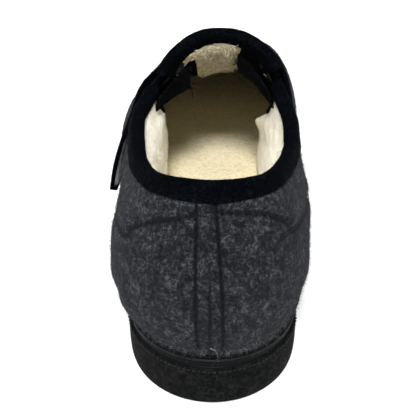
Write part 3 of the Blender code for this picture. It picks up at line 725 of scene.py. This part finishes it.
HAIR = bent_hair("short_hair", 1.0, 0.085, 0.45)
LOCK = curled_lock("wool_lock", 1.0, 0.34, 0.6)
STITCH = capsule("stitch_shape", 2.3, 0.42)
BEAD = capsule("bead_shape", 1.3, 0.5)
SHAPES = [HAIR, LOCK, STITCH, BEAD]


def scattered(name, over, cover, shape, density, length, lean, seed, material):
    """Fibres over a piece, as a piece of their own.

    density is a count for each square centimetre, length is in millimetres and lean in radians."""
    base = put(name, over.data.copy())
    store(base, "cover", cover)
    return run_tree(base, FIBRES, Shape=shape, Density=density * 1e4, Length=length, Shortest=0.5, Lean=lean,
                    Seed=seed, Material=material)


def path_curve(name, paths):
    """A curve object with one open line for each path."""
    curve = bpy.data.curves.new(name, "CURVE")
    curve.dimensions = "3D"
    for path in paths:
        spline = curve.splines.new("POLY")
        spline.points.add(len(path) - 1)
        for point, place in zip(spline.points, path):
            point.co = (*place, 1.0)
    thing = bpy.data.objects.new(name, curve)
    bpy.context.scene.collection.objects.link(thing)
    return thing


def tube(name, paths, radius, material, resolution=1, closed=False):
    """A round strand along each path, as a piece; radius in millimetres."""
    strand = path_curve(name, paths)
    for spline in strand.data.splines:
        spline.use_cyclic_u = closed
    strand.data.bevel_depth = radius * MM
    strand.data.bevel_resolution = resolution
    strand.data.materials.append(material)
    made = applied(strand)
    made.name = name
    return made


def row_of(name, paths, shape, spacing, size, seed, material):
    """A row of small shapes along paths, as a piece."""
    made = run_tree(path_curve(name, paths), ROW, Shape=shape, Spacing=spacing * MM, Size=size, Seed=seed,
                    Material=material)
    made.name = name
    return made


def belongs(piece, slot, *nodes):
    """Ties a finished piece to the slipper's body and hides the nodes that it stands for; its finish, slot,
    is not used.
    """
    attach(piece, "root")
    if nodes:
        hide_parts(*nodes)


# Sewn lines of the upper

def seen_line(pixels, extra=(), count=40):
    """A line on the felt through places in the picture, then through places in millimetres."""
    points = [seen_on("felt_upper", u, v) for u, v in pixels]
    points += [on_felt(*place) for place in extra]
    return [on_felt(*millimetres([p])[0]) for p in smooth_path(points, count)]


def side_line(places, count=30):
    """A line on the felt through places in millimetres."""
    return [on_felt(*p) for p in smooth_path([Vector(p) for p in places], count)]


BACK_LEFT = seen_line(((196, 207), (196, 235), (195, 262), (195, 290), (196, 320), (198, 347)))
BACK_RIGHT = seen_line(((216, 207), (218, 235), (220, 262), (222, 290), (223, 320), (223, 350)))
BACK_SEAM = seen_line(((209, 296), (210, 320), (210, 340), (210, 356)), count=20)
COUNTER_LEFT = seen_line(
    ((194, 215), (176, 219), (161, 221), (146, 223), (130, 229), (121, 234)),
    ((-43, 70, 60), (-46, 88, 44), (-46, 98, 30)))
COUNTER_RIGHT = seen_line(
    ((222, 213), (238, 213), (261, 214), (276, 218), (288, 223), (296, 229)),
    ((44, 70, 60), (47, 88, 44), (47, 98, 30)))
QUARTER_LEFT = side_line(((-33, 122, 80), (-39, 134, 64), (-43, 148, 48), (-46, 164, 30), (-47, 172, 22)))
QUARTER_RIGHT = side_line(((34, 122, 80), (40, 134, 64), (45, 148, 48), (48, 164, 30), (50, 172, 22)))

# Troughs that the seams press into the felt: line, depth, half width
SEAM_TROUGHS = (
    (BACK_LEFT, 0.8, 2.2), (BACK_RIGHT, 0.8, 2.2), (BACK_SEAM, 0.35, 1.6),
    (COUNTER_LEFT, 0.8, 2.4), (COUNTER_RIGHT, 0.8, 2.4), (QUARTER_LEFT, 0.7, 2.2), (QUARTER_RIGHT, 0.7, 2.2),
)

# Soft creases: places in millimetres, depth, half width
CREASES = (
    (((-30, 176, 58), (-8, 183, 74), (8, 184, 79), (28, 178, 62)), 1.5, 4.0),
    (((-34, 196, 46), (-12, 199, 64), (10, 200, 70), (34, 195, 50)), 1.2, 3.5),
    (((-44, 158, 52), (-38, 166, 58), (-30, 172, 64)), 1.4, 3.5),
    (((47, 152, 48), (41, 162, 58), (32, 170, 66)), 1.4, 3.5),
    (((-44, 60, 40), (-45, 78, 52), (-42, 92, 66)), 1.2, 5.0),
    (((45, 56, 36), (46, 76, 46), (44, 94, 60)), 1.3, 5.0),
    (((-30, 22, 50), (-33, 26, 42), (-35, 30, 34)), 0.6, 4.0),
    (((-22, 12, 84), (-28, 18, 74), (-36, 32, 66)), 0.5, 4.0),
    (((20, 10, 60), (28, 18, 52), (35, 28, 40)), 0.6, 4.0),
)

# A distance past every sewn line, for the felt's hidden face
FAR = 99.0

# The stretch inside the upper that its outer face looks away from, and the height of its bottom edge
INSIDE_X, INSIDE_Y, INSIDE_Z = 3.0, (36, 232), (20, 50)
BOTTOM_EDGE_Z = 24

# Hairs start above the sole's ledge, the longer ones end here, and they are sparse this near a seam
HAIRS_FROM_Z, FRIZZ_TO_Z = 20, 32
SEAM_BARE, SEAM_BARE_WIDTH = 0.85, 1.6
STITCH_SPACING = 3.3

# The throat's tape: the felt's top edge by the distance from the heel, its two ends and its depth
THROAT_TOP_LATERAL = ((116, 131, 147), (84.5, 87.5, 94.5))
THROAT_TOP_MEDIAL = ((116, 131, 147), (86.0, 90.5, 97.0))
THROAT_REAR, THROAT_FRONT = 117, 144
THROAT_TAPE_DEPTH = 5.0


def signed(places, path, above):
    """Distance to a line with a sign that says on which side of it a place lies."""
    away = distance_to(places, path)
    line = np.array([list(p) for p in path])
    nearest = np.argmin(((places[:, None, :] - line[None, :, :]) ** 2).sum(-1), axis=1)
    return away * np.where((places - line[nearest]) @ np.array(above) >= 0, 1.0, -1.0)


def seam_distances(places):
    """Signed distances to the sewn lines, by the names that the felt's material reads."""
    across, up = (1, 0, 0), (0, 0, 1)
    distances = {}
    for name, left, right in (
        ("counter_line", COUNTER_LEFT, COUNTER_RIGHT), ("quarter_line", QUARTER_LEFT, QUARTER_RIGHT)
    ):
        a, b = signed(places, left, up), signed(places, right, up)
        distances[name] = np.where(np.abs(a) < np.abs(b), a, b)
    distances["back_left_line"] = signed(places, BACK_LEFT, across)
    distances["back_right_line"] = signed(places, BACK_RIGHT, across)
    distances["back_seam_line"] = signed(places, BACK_SEAM, across)
    return distances


def press(lift, places, path, depth, width, edge, edge_at):
    """Presses a soft trough along a line into the heights, with edges raised by a share of its depth."""
    away = distance_to(places, path)
    lift -= depth * np.exp(-((away / width) ** 2))
    lift += edge * depth * np.exp(-(((away - edge_at * width) / width) ** 2))


def facing_out(rows, normals):
    """Which vertices lie on the outer face of the felt, its bottom edge left out."""
    x, y, z = np.full(len(rows), INSIDE_X), np.clip(rows[:, 1], *INSIDE_Y), np.clip(rows[:, 2], *INSIDE_Z)
    outside = ((rows - np.stack([x, y, z], axis=1)) * normals).sum(-1) > 0
    return outside & ~((rows[:, 2] < BOTTOM_EDGE_Z) & (np.abs(normals[:, 2]) > 0.9))


def throat_tape(felt, rows):
    """Black tape over the felt's edge between the collar's ends and the tongue."""
    x, y, z = rows.T
    top = np.where(x < 2, np.interp(y, *THROAT_TOP_LATERAL), np.interp(y, *THROAT_TOP_MEDIAL))
    edge = (y > THROAT_REAR) & (y < THROAT_FRONT) & (z > top - THROAT_TAPE_DEPTH)
    tape, _ = part_of(felt, "throat_tape", edge, TAPE)
    belongs(applied(walled(tape, 0.4, 1.0)), "knit")


def dress_upper():
    """The felt upper with its seams, creases and nap."""
    felt = soft_copy("felt_upper", "upper_felt", 2, FELT)
    places, normals = coordinates(felt.data)
    rows = millimetres(places)
    outside = facing_out(rows, normals)
    lift = 0.45 * unevenness(places, 26, 1) + 0.3 * unevenness(places, 9, 2)
    lift += 0.16 * unevenness(places, 3.5, 3)
    for line, depth, width in SEAM_TROUGHS:
        press(lift, places, line, depth, width, 0.35, 2.2)
    for shape, depth, width in CREASES:
        press(lift, places, smooth_path([on_felt(*p) for p in shape], 24), depth, width, 0.45, 1.9)
    move_out(felt, np.where(outside, lift, 0.0))
    to_seam = np.full(len(places), FAR)
    for name, distance in seam_distances(places).items():
        store(felt, name, np.where(outside, distance, FAR))
        to_seam = np.minimum(to_seam, np.abs(distance))
    belongs(felt, "felt", "felt_upper")
    throat_tape(felt, rows)
    hairy = outside & (rows[:, 2] > HAIRS_FROM_Z)
    cover = np.where(hairy, 1.0 - SEAM_BARE * np.exp(-((to_seam / SEAM_BARE_WIDTH) ** 2)), 0.0)
    belongs(scattered("felt_fuzz", felt, cover, HAIR, 62, 1.7, 1.25, 5, FELT_HAIR), "felt")
    # Frizz along the felt's bottom edge: real frizz, in a pale tone that is painted light on the lower edge.
    cover = np.where(hairy & (rows[:, 2] < FRIZZ_TO_Z), 1.0, 0.0)
    belongs(scattered("felt_edge_frizz", felt, cover, HAIR, 95, 2.4, 1.3, 6, LINT_AND_PAINTED_LIGHT_FRIZZ_FIBRE), "felt")


def dress_sewing():
    """Sunk topstitches of the upper."""
    for name, lines, size, seed in (
        ("upper_stitches", [BACK_LEFT, BACK_RIGHT], 0.8, 3),
        ("panel_stitches", [COUNTER_LEFT, COUNTER_RIGHT, QUARTER_LEFT, QUARTER_RIGHT], 0.7, 4),
    ):
        belongs(row_of(name, lines, STITCH, STITCH_SPACING, size, seed, THREAD), "felt")


# Marks on the felt: name, place in the picture, its way from there in millimetres, radius
MARKS = (
    ("seam_knot", (213, 349), ((-1.1, 0, 0.3), (0.2, -0.9, 0.5), (1.0, -0.5, -0.4), (1.6, -0.9, -1.5)), 0.35),
    ("lint_fleck", (278, 191), ((-0.7, -0.5, 0.2), (0.0, -0.9, 0.5), (0.7, -0.5, 0.3)), 0.13),
)


def dress_marks():
    """A knot at the foot of the back seam and a fleck of lint."""
    for name, pixel, turns, radius in MARKS:
        spot = seen_on("felt_upper", *pixel)
        belongs(tube(name, [[spot + Vector(turn) * MM for turn in turns]], radius, LINT_AND_PAINTED_LIGHT_FRIZZ_FIBRE), "felt")


def dress_binding(node, name, seed):
    """A knit binding, slightly uneven, with short fuzz."""
    tape = soft_copy(node, name, 3, TAPE)
    roughen(tape, (0.3, 11, seed), (0.14, 3.5, seed + 1))
    belongs(tape, "knit", node)
    cover = np.ones(len(tape.data.vertices))
    belongs(scattered(name + "_fuzz", tape, cover, HAIR, 70, 1.1, 1.2, seed, BLACK_HAIR), "knit")


# Linings

# How far off the felt's inner face a lining starts
SHEET_GAP = 0.25


def inner_wall(start, direction):
    """Where a ray from inside the slipper meets the felt, and how far off, in metres."""
    place, _, _, distance = TREES["felt_upper"].ray_cast(start, direction)
    return place, distance


def thick_sheet(name, grid, material, rounds):
    """A closed padded sheet: grid holds rows of (place on the wall, direction inwards, thickness)."""
    rows, columns = len(grid), len(grid[0])
    points = [p + d * SHEET_GAP * MM for row in grid for p, d, _ in row]
    inner = [p + d * thickness * MM for row in grid for p, d, thickness in row]
    size = rows * columns
    faces = [tuple(reversed(face)) for face in quad_rows(rows, columns)]
    faces += [tuple(size + i for i in face) for face in quad_rows(rows, columns)]
    rim = list(range(columns)) + [r * columns + columns - 1 for r in range(1, rows)]
    rim += [(rows - 1) * columns + c for c in range(columns - 2, -1, -1)]
    rim += [r * columns for r in range(rows - 2, 0, -1)]
    for a, b in zip(rim, rim[1:] + rim[:1]):
        faces.append((a, b, size + b, size + a))
    return applied(rounded(mesh_from(name, points + inner, faces, material), rounds))


# The quarter lining: heights of its top under the collar's inner lip and of its foot on the insole,
# and where its inner face stands at the top and at the foot, by the distance from the heel
LINING_TOP = ((12, 20, 40, 69, 98, 116, 131, 190), (93.5, 92.3, 88.3, 83.0, 80.0, 79.6, 80.0, 80.0))
LINING_FOOT = ((40, 100, 137, 185), (29.0, 26.5, 24.5, 22.0))
LATERAL_TOP = ((40, 65, 91, 115, 130, 190), (-26.0, -28.0, -31.0, -31.2, -29.5, -29.5))
LATERAL_FOOT = ((40, 100, 137, 185), (-24.0, -25.5, -24.5, -26.5))
MEDIAL_TOP = ((40, 70, 95, 115, 130, 190), (26.5, 30.0, 33.4, 32.8, 30.5, 30.5))
MEDIAL_FOOT = ((40, 100, 137, 185), (22.5, 24.0, 25.0, 26.5))
LINING_COLUMNS, LINING_ROWS = 64, 12
# Its front edges start here at the top and reach this much further at the foot
LINING_FRONT_Y, LINING_FRONT_SLANT = 125.0, 60.0
# The share of its length along each side, and where its turn round the heel starts and how far it reaches
LINING_ARM = 0.38
HEEL_TURN_Y, HEEL_TURN_REACH = 42.0, 30.0
# Its thickness at the heel's middle: at the top, and how much thicker at the foot
HEEL_THICKNESS, HEEL_SWELL = 3.0, 2.0
THINNEST, THICKEST = 2.4, 17.0
LATERAL_FILLS = 0.22
# The tuft at its medial front edge: thickness, height on the edge, half height, share of the arm
TUFT, TUFT_LOW, TUFT_HALF, TUFT_REACH = 6.0, 0.45, 0.12, 0.1
# The black edges at its two fronts: name, the edge's column, a column behind it
LINING_EDGES = (("lateral_lining_edge", 0, 4), ("medial_lining_edge", -1, -5))
BOUND_ROWS = 4
BOUND_REACH = 4.5


def lining_side(t, low):
    """A place of the quarter lining along a side, as thick_sheet wants it."""
    side, tops, feet = (-1.0, LATERAL_TOP, LATERAL_FOOT) if t < 0.5 else (1.0, MEDIAL_TOP, MEDIAL_FOOT)
    share = t / LINING_ARM if t < LINING_ARM else (1 - t) / LINING_ARM
    front = LINING_FRONT_Y + LINING_FRONT_SLANT * low
    y = front + (HEEL_TURN_Y - front) * share
    top, foot = float(np.interp(y, *LINING_TOP)), float(np.interp(y, *LINING_FOOT))
    out = Vector((side, 0.0, 0.0))
    wall, _ = inner_wall(at(2.0, y, top + (foot - top) * low), out)
    # The lateral side fills out within LATERAL_FILLS of its height, the medial one evenly to its foot
    full = min(1.0, low / LATERAL_FILLS) ** 0.8 if side < 0 else low
    inner_x = float(np.interp(y, *tops)) * (1 - full) + float(np.interp(y, *feet)) * full
    thickness = (millimetres([wall])[0][0] - inner_x) * side
    if side > 0:
        thickness += TUFT * math.exp(-(((low - TUFT_LOW) / TUFT_HALF) ** 2) - (share / TUFT_REACH) ** 2)
    return wall, -out, min(max(thickness, THINNEST), THICKEST)


def lining_place(t, low):
    """A place of the quarter lining: t runs round the heel from lateral to medial, low from the top down."""
    if t < LINING_ARM or t > 1 - LINING_ARM:
        return lining_side(t, low)
    angle = math.pi * (t - LINING_ARM) / (1 - 2 * LINING_ARM)
    y = HEEL_TURN_Y - HEEL_TURN_REACH * math.sin(angle)
    top, foot = float(np.interp(y, *LINING_TOP)), float(np.interp(HEEL_TURN_Y, *LINING_FOOT))
    out = Vector((-math.cos(angle), -math.sin(angle), 0.0))
    wall, _ = inner_wall(at(0.5, HEEL_TURN_Y, top + (foot - top) * low), out)
    beside = lining_side(LINING_ARM - 1e-6 if angle < math.pi / 2 else 1 - LINING_ARM + 1e-6, low)[2]
    heel = HEEL_THICKNESS + HEEL_SWELL * low
    return wall, -out, beside + (heel - beside) * math.sin(angle)


def lining_edge(name, grid, column, behind):
    """Black binding folded over the top of one of the quarter lining's front edges."""
    strip = []
    ahead = Vector((0.0, 0.8 * MM, 0.0))
    for row in grid[:BOUND_ROWS]:
        wall, into, thickness = row[column]
        back_wall, _, back_thickness = row[behind]
        corner = wall + into * (thickness + 0.3) * MM
        far = back_wall + into * (back_thickness + 0.5) * MM
        reach = (far - corner).length / MM
        near = corner.lerp(far, min(1.0, BOUND_REACH / max(reach, 0.1)))
        strip += [near, corner + ahead, wall.lerp(corner, 0.5) + ahead * 1.6, wall + into * 0.6 * MM + ahead]
    edge = mesh_from(name, strip, quad_rows(BOUND_ROWS, 4), TAPE)
    belongs(applied(rounded(walled(edge, 1.5, 0.0), 2)), "knit")


def dress_quarter_lining():
    """White fleece round the inside of the quarters and the heel, its front edges bound in black."""
    grid = []
    for r in range(LINING_ROWS):
        low = r / (LINING_ROWS - 1)
        grid.append([lining_place(c / (LINING_COLUMNS - 1), low) for c in range(LINING_COLUMNS)])
    lining = thick_sheet("quarter_fleece", grid, FLEECE, 2)
    places, normals = coordinates(lining.data)
    lift = 0.95 * unevenness(places, 10, 6) + 0.55 * unevenness(places, 4.5, 7)
    rows = millimetres(places)
    calm = np.clip((np.interp(rows[:, 1], *LINING_TOP) - rows[:, 2]) / 8.0, 0.15, 1.0)
    move_out(lining, lift * calm)
    belongs(lining, "wool")
    cover = np.where((rows[:, 0] - LASTED_X) * normals[:, 0] < 0, 1.0, 0.0)
    belongs(scattered("quarter_pile", lining, cover, HAIR, 48, 1.25, 1.3, 8, FLEECE_HAIR), "wool")
    for name, column, behind in LINING_EDGES:
        lining_edge(name, grid, column, behind)


# The vamp lining: its two ends, its rows and columns, its arc in degrees, the height of the arc's
# middle at each end, its thickness, and the longest way to the felt, in metres
VAMP_REAR_Y, VAMP_FRONT_Y = 190.0, 240.0
VAMP_ROWS, VAMP_COLUMNS = 15, 21
VAMP_ARC_START, VAMP_ARC = -12, 204
VAMP_MIDDLE_Z, VAMP_DROP = 38.0, 4.0
VAMP_THICKNESS = 3.0
FARTHEST_WALL = 0.055
# Past the felt's edge the last place is repeated, each copy this much higher than the one before
KEPT_APART = 0.0001


def dress_vamp_lining():
    """Fleece under the vamp, towards the toe."""
    grid = []
    for i in range(VAMP_ROWS):
        y = VAMP_REAR_Y + (VAMP_FRONT_Y - VAMP_REAR_Y) * i / (VAMP_ROWS - 1)
        row = []
        for j in range(VAMP_COLUMNS):
            angle = math.radians(VAMP_ARC_START + VAMP_ARC * j / (VAMP_COLUMNS - 1))
            out = Vector((math.cos(angle), 0.0, math.sin(angle)))
            place, distance = inner_wall(at(5.0, y, VAMP_MIDDLE_Z - VAMP_DROP * i / (VAMP_ROWS - 1)), out)
            row.append((place if place and distance < FARTHEST_WALL else None, -out, VAMP_THICKNESS))
        grid.append(row)
    for row in grid:
        known = [j for j, (place, _, _) in enumerate(row) if place]
        for j, (place, into, thickness) in enumerate(row):
            if place is None:
                k = min(known, key=lambda other: abs(other - j))
                row[j] = (row[k][0] + Vector((0, 0, KEPT_APART * abs(k - j))), into, thickness)
    lining = thick_sheet("vamp_fleece", grid, FLEECE, 1)
    roughen(lining, (0.5, 9, 9), (0.3, 4, 10))
    belongs(lining, "wool")


# The tongue: its middle, and the half width of its fleece on each side by the distance from the heel
TONGUE_MIDDLE_X = 2.6
FLEECE_HALF_LATERAL = ((126, 133, 137, 141), (22, 21, 13, 11.5))
FLEECE_HALF_MEDIAL = ((126, 131, 135, 140), (20, 18, 13, 11.5))
# Where the fleece and the webs start and end, how far the fleece's front edge curves, and the overlap
FLEECE_REAR, FLEECE_FRONT = 126, 162
FLEECE_CURVE, FLEECE_CURVE_HALF = 9, 11
WEB_REAR, WEB_FRONT, WEB_OVERLAP = 124, 152, 1.5
# The fleece's thickness inwards of its rim, and how far the rim slopes and stays bare of curls
FLEECE_THICKNESS, FLEECE_SLOPE, FLEECE_BARE = 2.4, 6.0, 2.5


def dress_tongue():
    """The tongue's felt, the curly fleece under it, its tone darkened as painted shade, and the elastic webs
    beside the fleece.
    """
    felt = soft_copy("tongue", "tongue_felt", 2, STRAP_FELT)
    belongs(felt, "felt", "tongue")
    places, normals = coordinates(felt.data)
    under = normals[:, 2] < -0.25
    x, y, _ = millimetres(places).T
    aside = np.abs(x - TONGUE_MIDDLE_X)
    lateral, medial = np.interp(y, *FLEECE_HALF_LATERAL), np.interp(y, *FLEECE_HALF_MEDIAL)
    half = np.where(x < TONGUE_MIDDLE_X, lateral, medial)
    front = FLEECE_FRONT + FLEECE_CURVE * np.clip(aside / FLEECE_CURVE_HALF, 0, 1) ** 2
    fleecy = under & (y > FLEECE_REAR) & (y < front) & (aside < half)
    webbed = under & (y > WEB_REAR) & (y < WEB_FRONT) & (aside > half - WEB_OVERLAP)
    lining, rim = part_of(felt, "tongue_fleece", fleecy, PAINTED_SHADE_FLEECE_OF_TONGUE)
    webs, _ = part_of(felt, "tongue_webs", webbed, ELASTIC)
    belongs(applied(walled(webs, 0.6, 1.0)), "elastic")
    places, _ = coordinates(lining.data)
    from_rim = np.array([min((Vector(p) - r).length for r in rim) / MM for p in places])
    full = np.clip(from_rim / FLEECE_SLOPE, 0, 1)
    full = full * full * (3 - 2 * full)
    lumps = 0.5 * unevenness(places, 7, 11) + 0.35 * unevenness(places, 3.2, 12)
    move_out(lining, 0.15 + full * (FLEECE_THICKNESS + lumps))
    belongs(lining, "wool")
    cover = np.where(from_rim > FLEECE_BARE, 1.0, 0.0)
    belongs(scattered("tongue_curls", lining, cover, LOCK, 50, 2.1, 1.3, 13, PAINTED_SHADE_HAIR_OF_TONGUE), "wool")


def dress_insole():
    """Wool insole with a felted, slightly trodden top."""
    bed = soft_copy("insole", "insole_wool", 3, WOOL)
    places, normals = coordinates(bed.data)
    lift = 0.5 * unevenness(places, 18, 14) + 0.25 * unevenness(places, 5, 15)
    move_out(bed, np.where(normals[:, 2] > 0.3, lift, 0.0))
    belongs(bed, "wool", "insole")
    cover = np.where(normals[:, 2] > 0.5, 1.0, 0.0)
    belongs(scattered("insole_nap", bed, cover, HAIR, 40, 0.95, 1.3, 16, WOOL_HAIR), "wool")


# Loose threads at each gusset's end
FRAYS_EACH = 22
# The one long thread that hangs from the lateral gusset: its way down, from the gusset's end
HANGING_THREAD = ((0, 0, 0), (0.8, 0.6, -1.6), (0.5, 1.0, -3.6), (1.1, 1.2, -6.0))


def dress_gussets():
    """Elastic gussets with frayed ends at the tongue."""
    strands = []
    chance = random.Random(4)
    for node, inner in (("gusset_lateral", 1.0), ("gusset_medial", -1.0)):
        band = soft_copy(node, node + "_elastic", 2, ELASTIC)
        places, _ = coordinates(band.data)
        roughen(band, (0.18, 5, 17))
        belongs(band, "elastic", node)
        order = np.argsort(-places[:, 0] * inner)
        ends = places[order[: max(12, len(order) // 14)]]
        for _ in range(FRAYS_EACH):
            root = Vector(ends[chance.randrange(len(ends))])
            length = chance.uniform(0.6, 3.8)
            drift = Vector((inner * length, chance.uniform(-0.6, 0.6), chance.uniform(-1.6, 0.8))) * MM
            droop = Vector((0, 0, -chance.uniform(0.2, 1.4) * MM))
            strands.append([root, root + drift * 0.5 + droop * 0.2, root + drift + droop])
    band, _ = coordinates(NODES["gusset_lateral"].data)
    low = Vector(band[np.argmax(band[:, 0] - 0.8 * band[:, 2])])
    strands.append([low + Vector(step) * MM for step in HANGING_THREAD])
    belongs(tube("frayed_ends", strands, 0.13, THREAD), "elastic")


# An edge of the strap's rim is bent more than this, in degrees, and longer than this
RIM_ANGLE = 55
SHORTEST_RIM = 3
# The looped face of the strap's free end lies on this side and under this height
LOOPS_X, LOOPS_Z = -20, 62


def strap_rim():
    """The line round the strap, midway between its two faces."""
    work = merged("instep_strap")
    sharp = [
        e for e in work.edges
        if e.calc_face_angle() > math.radians(RIM_ANGLE) and e.calc_length() > SHORTEST_RIM * MM
    ]
    near = {}
    for edge in sharp:
        for a, b in (edge.verts, reversed(edge.verts)):
            near.setdefault(a, []).append(b)
    loops, seen = [], set()
    for start in near:
        if start in seen:
            continue
        loop, here = [], start
        while here is not None:
            seen.add(here)
            loop.append(here.co.copy())
            here = next((other for other in near[here] if other not in seen), None)
        loops.append(loop)
    loops.sort(key=len)
    first, second = loops[-1], loops[-2]
    rim = [p.lerp(min(second, key=lambda q: (q - p).length), 0.5) for p in first]
    work.free()
    tree = TREES["instep_strap"]
    return [p + tree.find_nearest(p)[1] * 0.45 * MM for p in rim]


def dress_strap():
    """Felt strap with a thin bound edge, and its touch-fastening patch."""
    felt = soft_copy("instep_strap", "strap_felt", 2, LINED_FELT)
    places, normals = coordinates(felt.data)
    x, _, z = millimetres(places).T
    looped = (x < LOOPS_X) & (z < LOOPS_Z) & (normals[:, 0] > 0.25)
    store(felt, "loop_face", np.where(looped, 1.0, 0.0))
    roughen(felt, (0.25, 14, 18), (0.12, 4, 19))
    belongs(felt, "felt", "instep_strap")
    cover = np.ones(len(places))
    belongs(scattered("strap_fuzz", felt, cover, HAIR, 50, 1.5, 1.25, 20, FELT_HAIR), "felt")
    belongs(soft_copy("hook_patch", "grip_patch", 1, GRIP), "grip", "hook_patch")
    edge = tube("strap_edge", [strap_rim()], 1.05, TAPE, 3, closed=True)
    roughen(edge, (0.15, 6, 31))
    belongs(edge, "knit")


# Heights of the sole's ledge by the distance from the heel
LEDGE = ((0, 60, 88, 104, 138, 154, 190, 222, 250, 272, 286),
         (20.6, 19.9, 19.1, 19.1, 18.2, 17.2, 16.7, 16.8, 19.0, 22.2, 24.6))
# The ring round the sole: its places, its start and its sweep in degrees
RING_COUNT, RING_START, RING_SWEEP = 121, -215, 250
# Heights of the rand's bead and of the row of bumps from the ledge, and the bumps' spacing
RAND_BEAD_Z, BUMPS_Z, BUMP_SPACING = 4.2, -1.2, 2.1
# The sole's edges stay sharp where its faces bend more than this, in degrees, before and after rounding
SHARP_BEFORE, SHARP_AFTER = 26, 32


def sole_ring(height):
    """A line round the back and sides of the sole, at a height in millimetres above its ledge."""
    ring = []
    for i in range(RING_COUNT):
        angle = math.radians(RING_START + RING_SWEEP * i / (RING_COUNT - 1))
        out = Vector((math.cos(angle), math.sin(angle), 0.0))
        start = at(1.0, 60.0, 20.0) + out * 0.3
        y = millimetres([TREES["outsole"].ray_cast(start, -out)[0]])[0][1]
        start.z = (float(np.interp(y, *LEDGE)) + height) * MM
        ring.append(TREES["outsole"].ray_cast(start, -out)[0])
    return ring


def dress_sole():
    """Rubber sole with a bead round its rand and its moulded row of bumps."""
    work = merged("outsole", 4, 180)
    crease = work.edges.layers.float.new("crease_edge")
    for edge in work.edges:
        if len(edge.link_faces) == 2 and edge.calc_face_angle() > math.radians(SHARP_BEFORE):
            edge[crease] = 1.0
    sole = rounded(kept("sole_rubber", work, RUBBER), 2)
    split = sole.modifiers.new("Sharp", "EDGE_SPLIT")
    split.split_angle = math.radians(SHARP_AFTER)
    sole = applied(sole)
    places, _ = coordinates(sole.data)
    _, y, z = millimetres(places).T
    store(sole, "grain", np.clip((np.interp(y, *LEDGE) - z) / 0.6 + 0.5, 0, 1))
    belongs(sole, "rubber", "outsole")
    belongs(tube("rand_bead", [sole_ring(RAND_BEAD_Z)], 0.45, BUMP_RUBBER), "rubber")
    bumps = row_of("moulded_bumps", [sole_ring(BUMPS_Z)], BEAD, BUMP_SPACING, 1.0, 5, BUMP_RUBBER)
    belongs(bumps, "rubber")


dress_upper()
dress_sewing()
dress_marks()
dress_binding("collar_binding", "collar_knit", 21)
dress_binding("tongue_binding", "tongue_knit", 24)
dress_quarter_lining()
dress_vamp_lining()
dress_tongue()
dress_insole()
dress_gussets()
dress_strap()
dress_sole()
for shape in SHAPES:
    bpy.data.objects.remove(shape)


# Stage and lights

# The floor's half side and its height, just under the sole, in metres
FLOOR_HALF, FLOOR_Z = 6.0, -0.0002
# Lights: name, place from the slipper's middle in metres, side in metres, watts
LIGHTS = (
    ("key", (-0.15, -2.7, 4.05), 1.1, 290.0),
    ("left_fill", (-3.0, -0.3, 2.7), 3.0, 82.0),
    ("right_fill", (3.0, -0.3, 2.7), 3.0, 52.0),
)
SURROUND = 0.33


def set_stage():
    """Plain pale floor."""
    square = ((-1, -1), (1, -1), (1, 1), (-1, 1))
    corners = [Vector((x * FLOOR_HALF, y * FLOOR_HALF, FLOOR_Z)) for x, y in square]
    material, _, shader = new_material("pale_floor", 0.8, specular=0.1)
    shader.inputs["Base Color"].default_value = colour(0.93, 0.93, 0.93)
    floor = mesh_from("floor", corners, [(0, 1, 2, 3)], material)
    if floor.data.polygons[0].normal.z < 0:
        floor.data.flip_normals()


def set_lights():
    """A soft key from behind and above, and an even pale surround."""
    aim = at(0, 120, 50)
    for name, offset, size, power in LIGHTS:
        data = bpy.data.lights.new(name, "AREA")
        data.shape = "SQUARE"
        data.size = size
        data.energy = power
        light = bpy.data.objects.new(name, data)
        light.location = aim + Vector(offset)
        light.rotation_euler = Vector(offset).to_track_quat("Z", "Y").to_euler()
        bpy.context.scene.collection.objects.link(light)
    world = bpy.data.worlds.new("surround")
    world.use_nodes = True
    background = world.node_tree.nodes["Background"]
    background.inputs["Color"].default_value = colour(1.0, 1.0, 1.0)
    background.inputs["Strength"].default_value = SURROUND
    bpy.context.scene.world = world
    bpy.context.scene.view_settings.view_transform = "Standard"


set_stage()
set_lights()
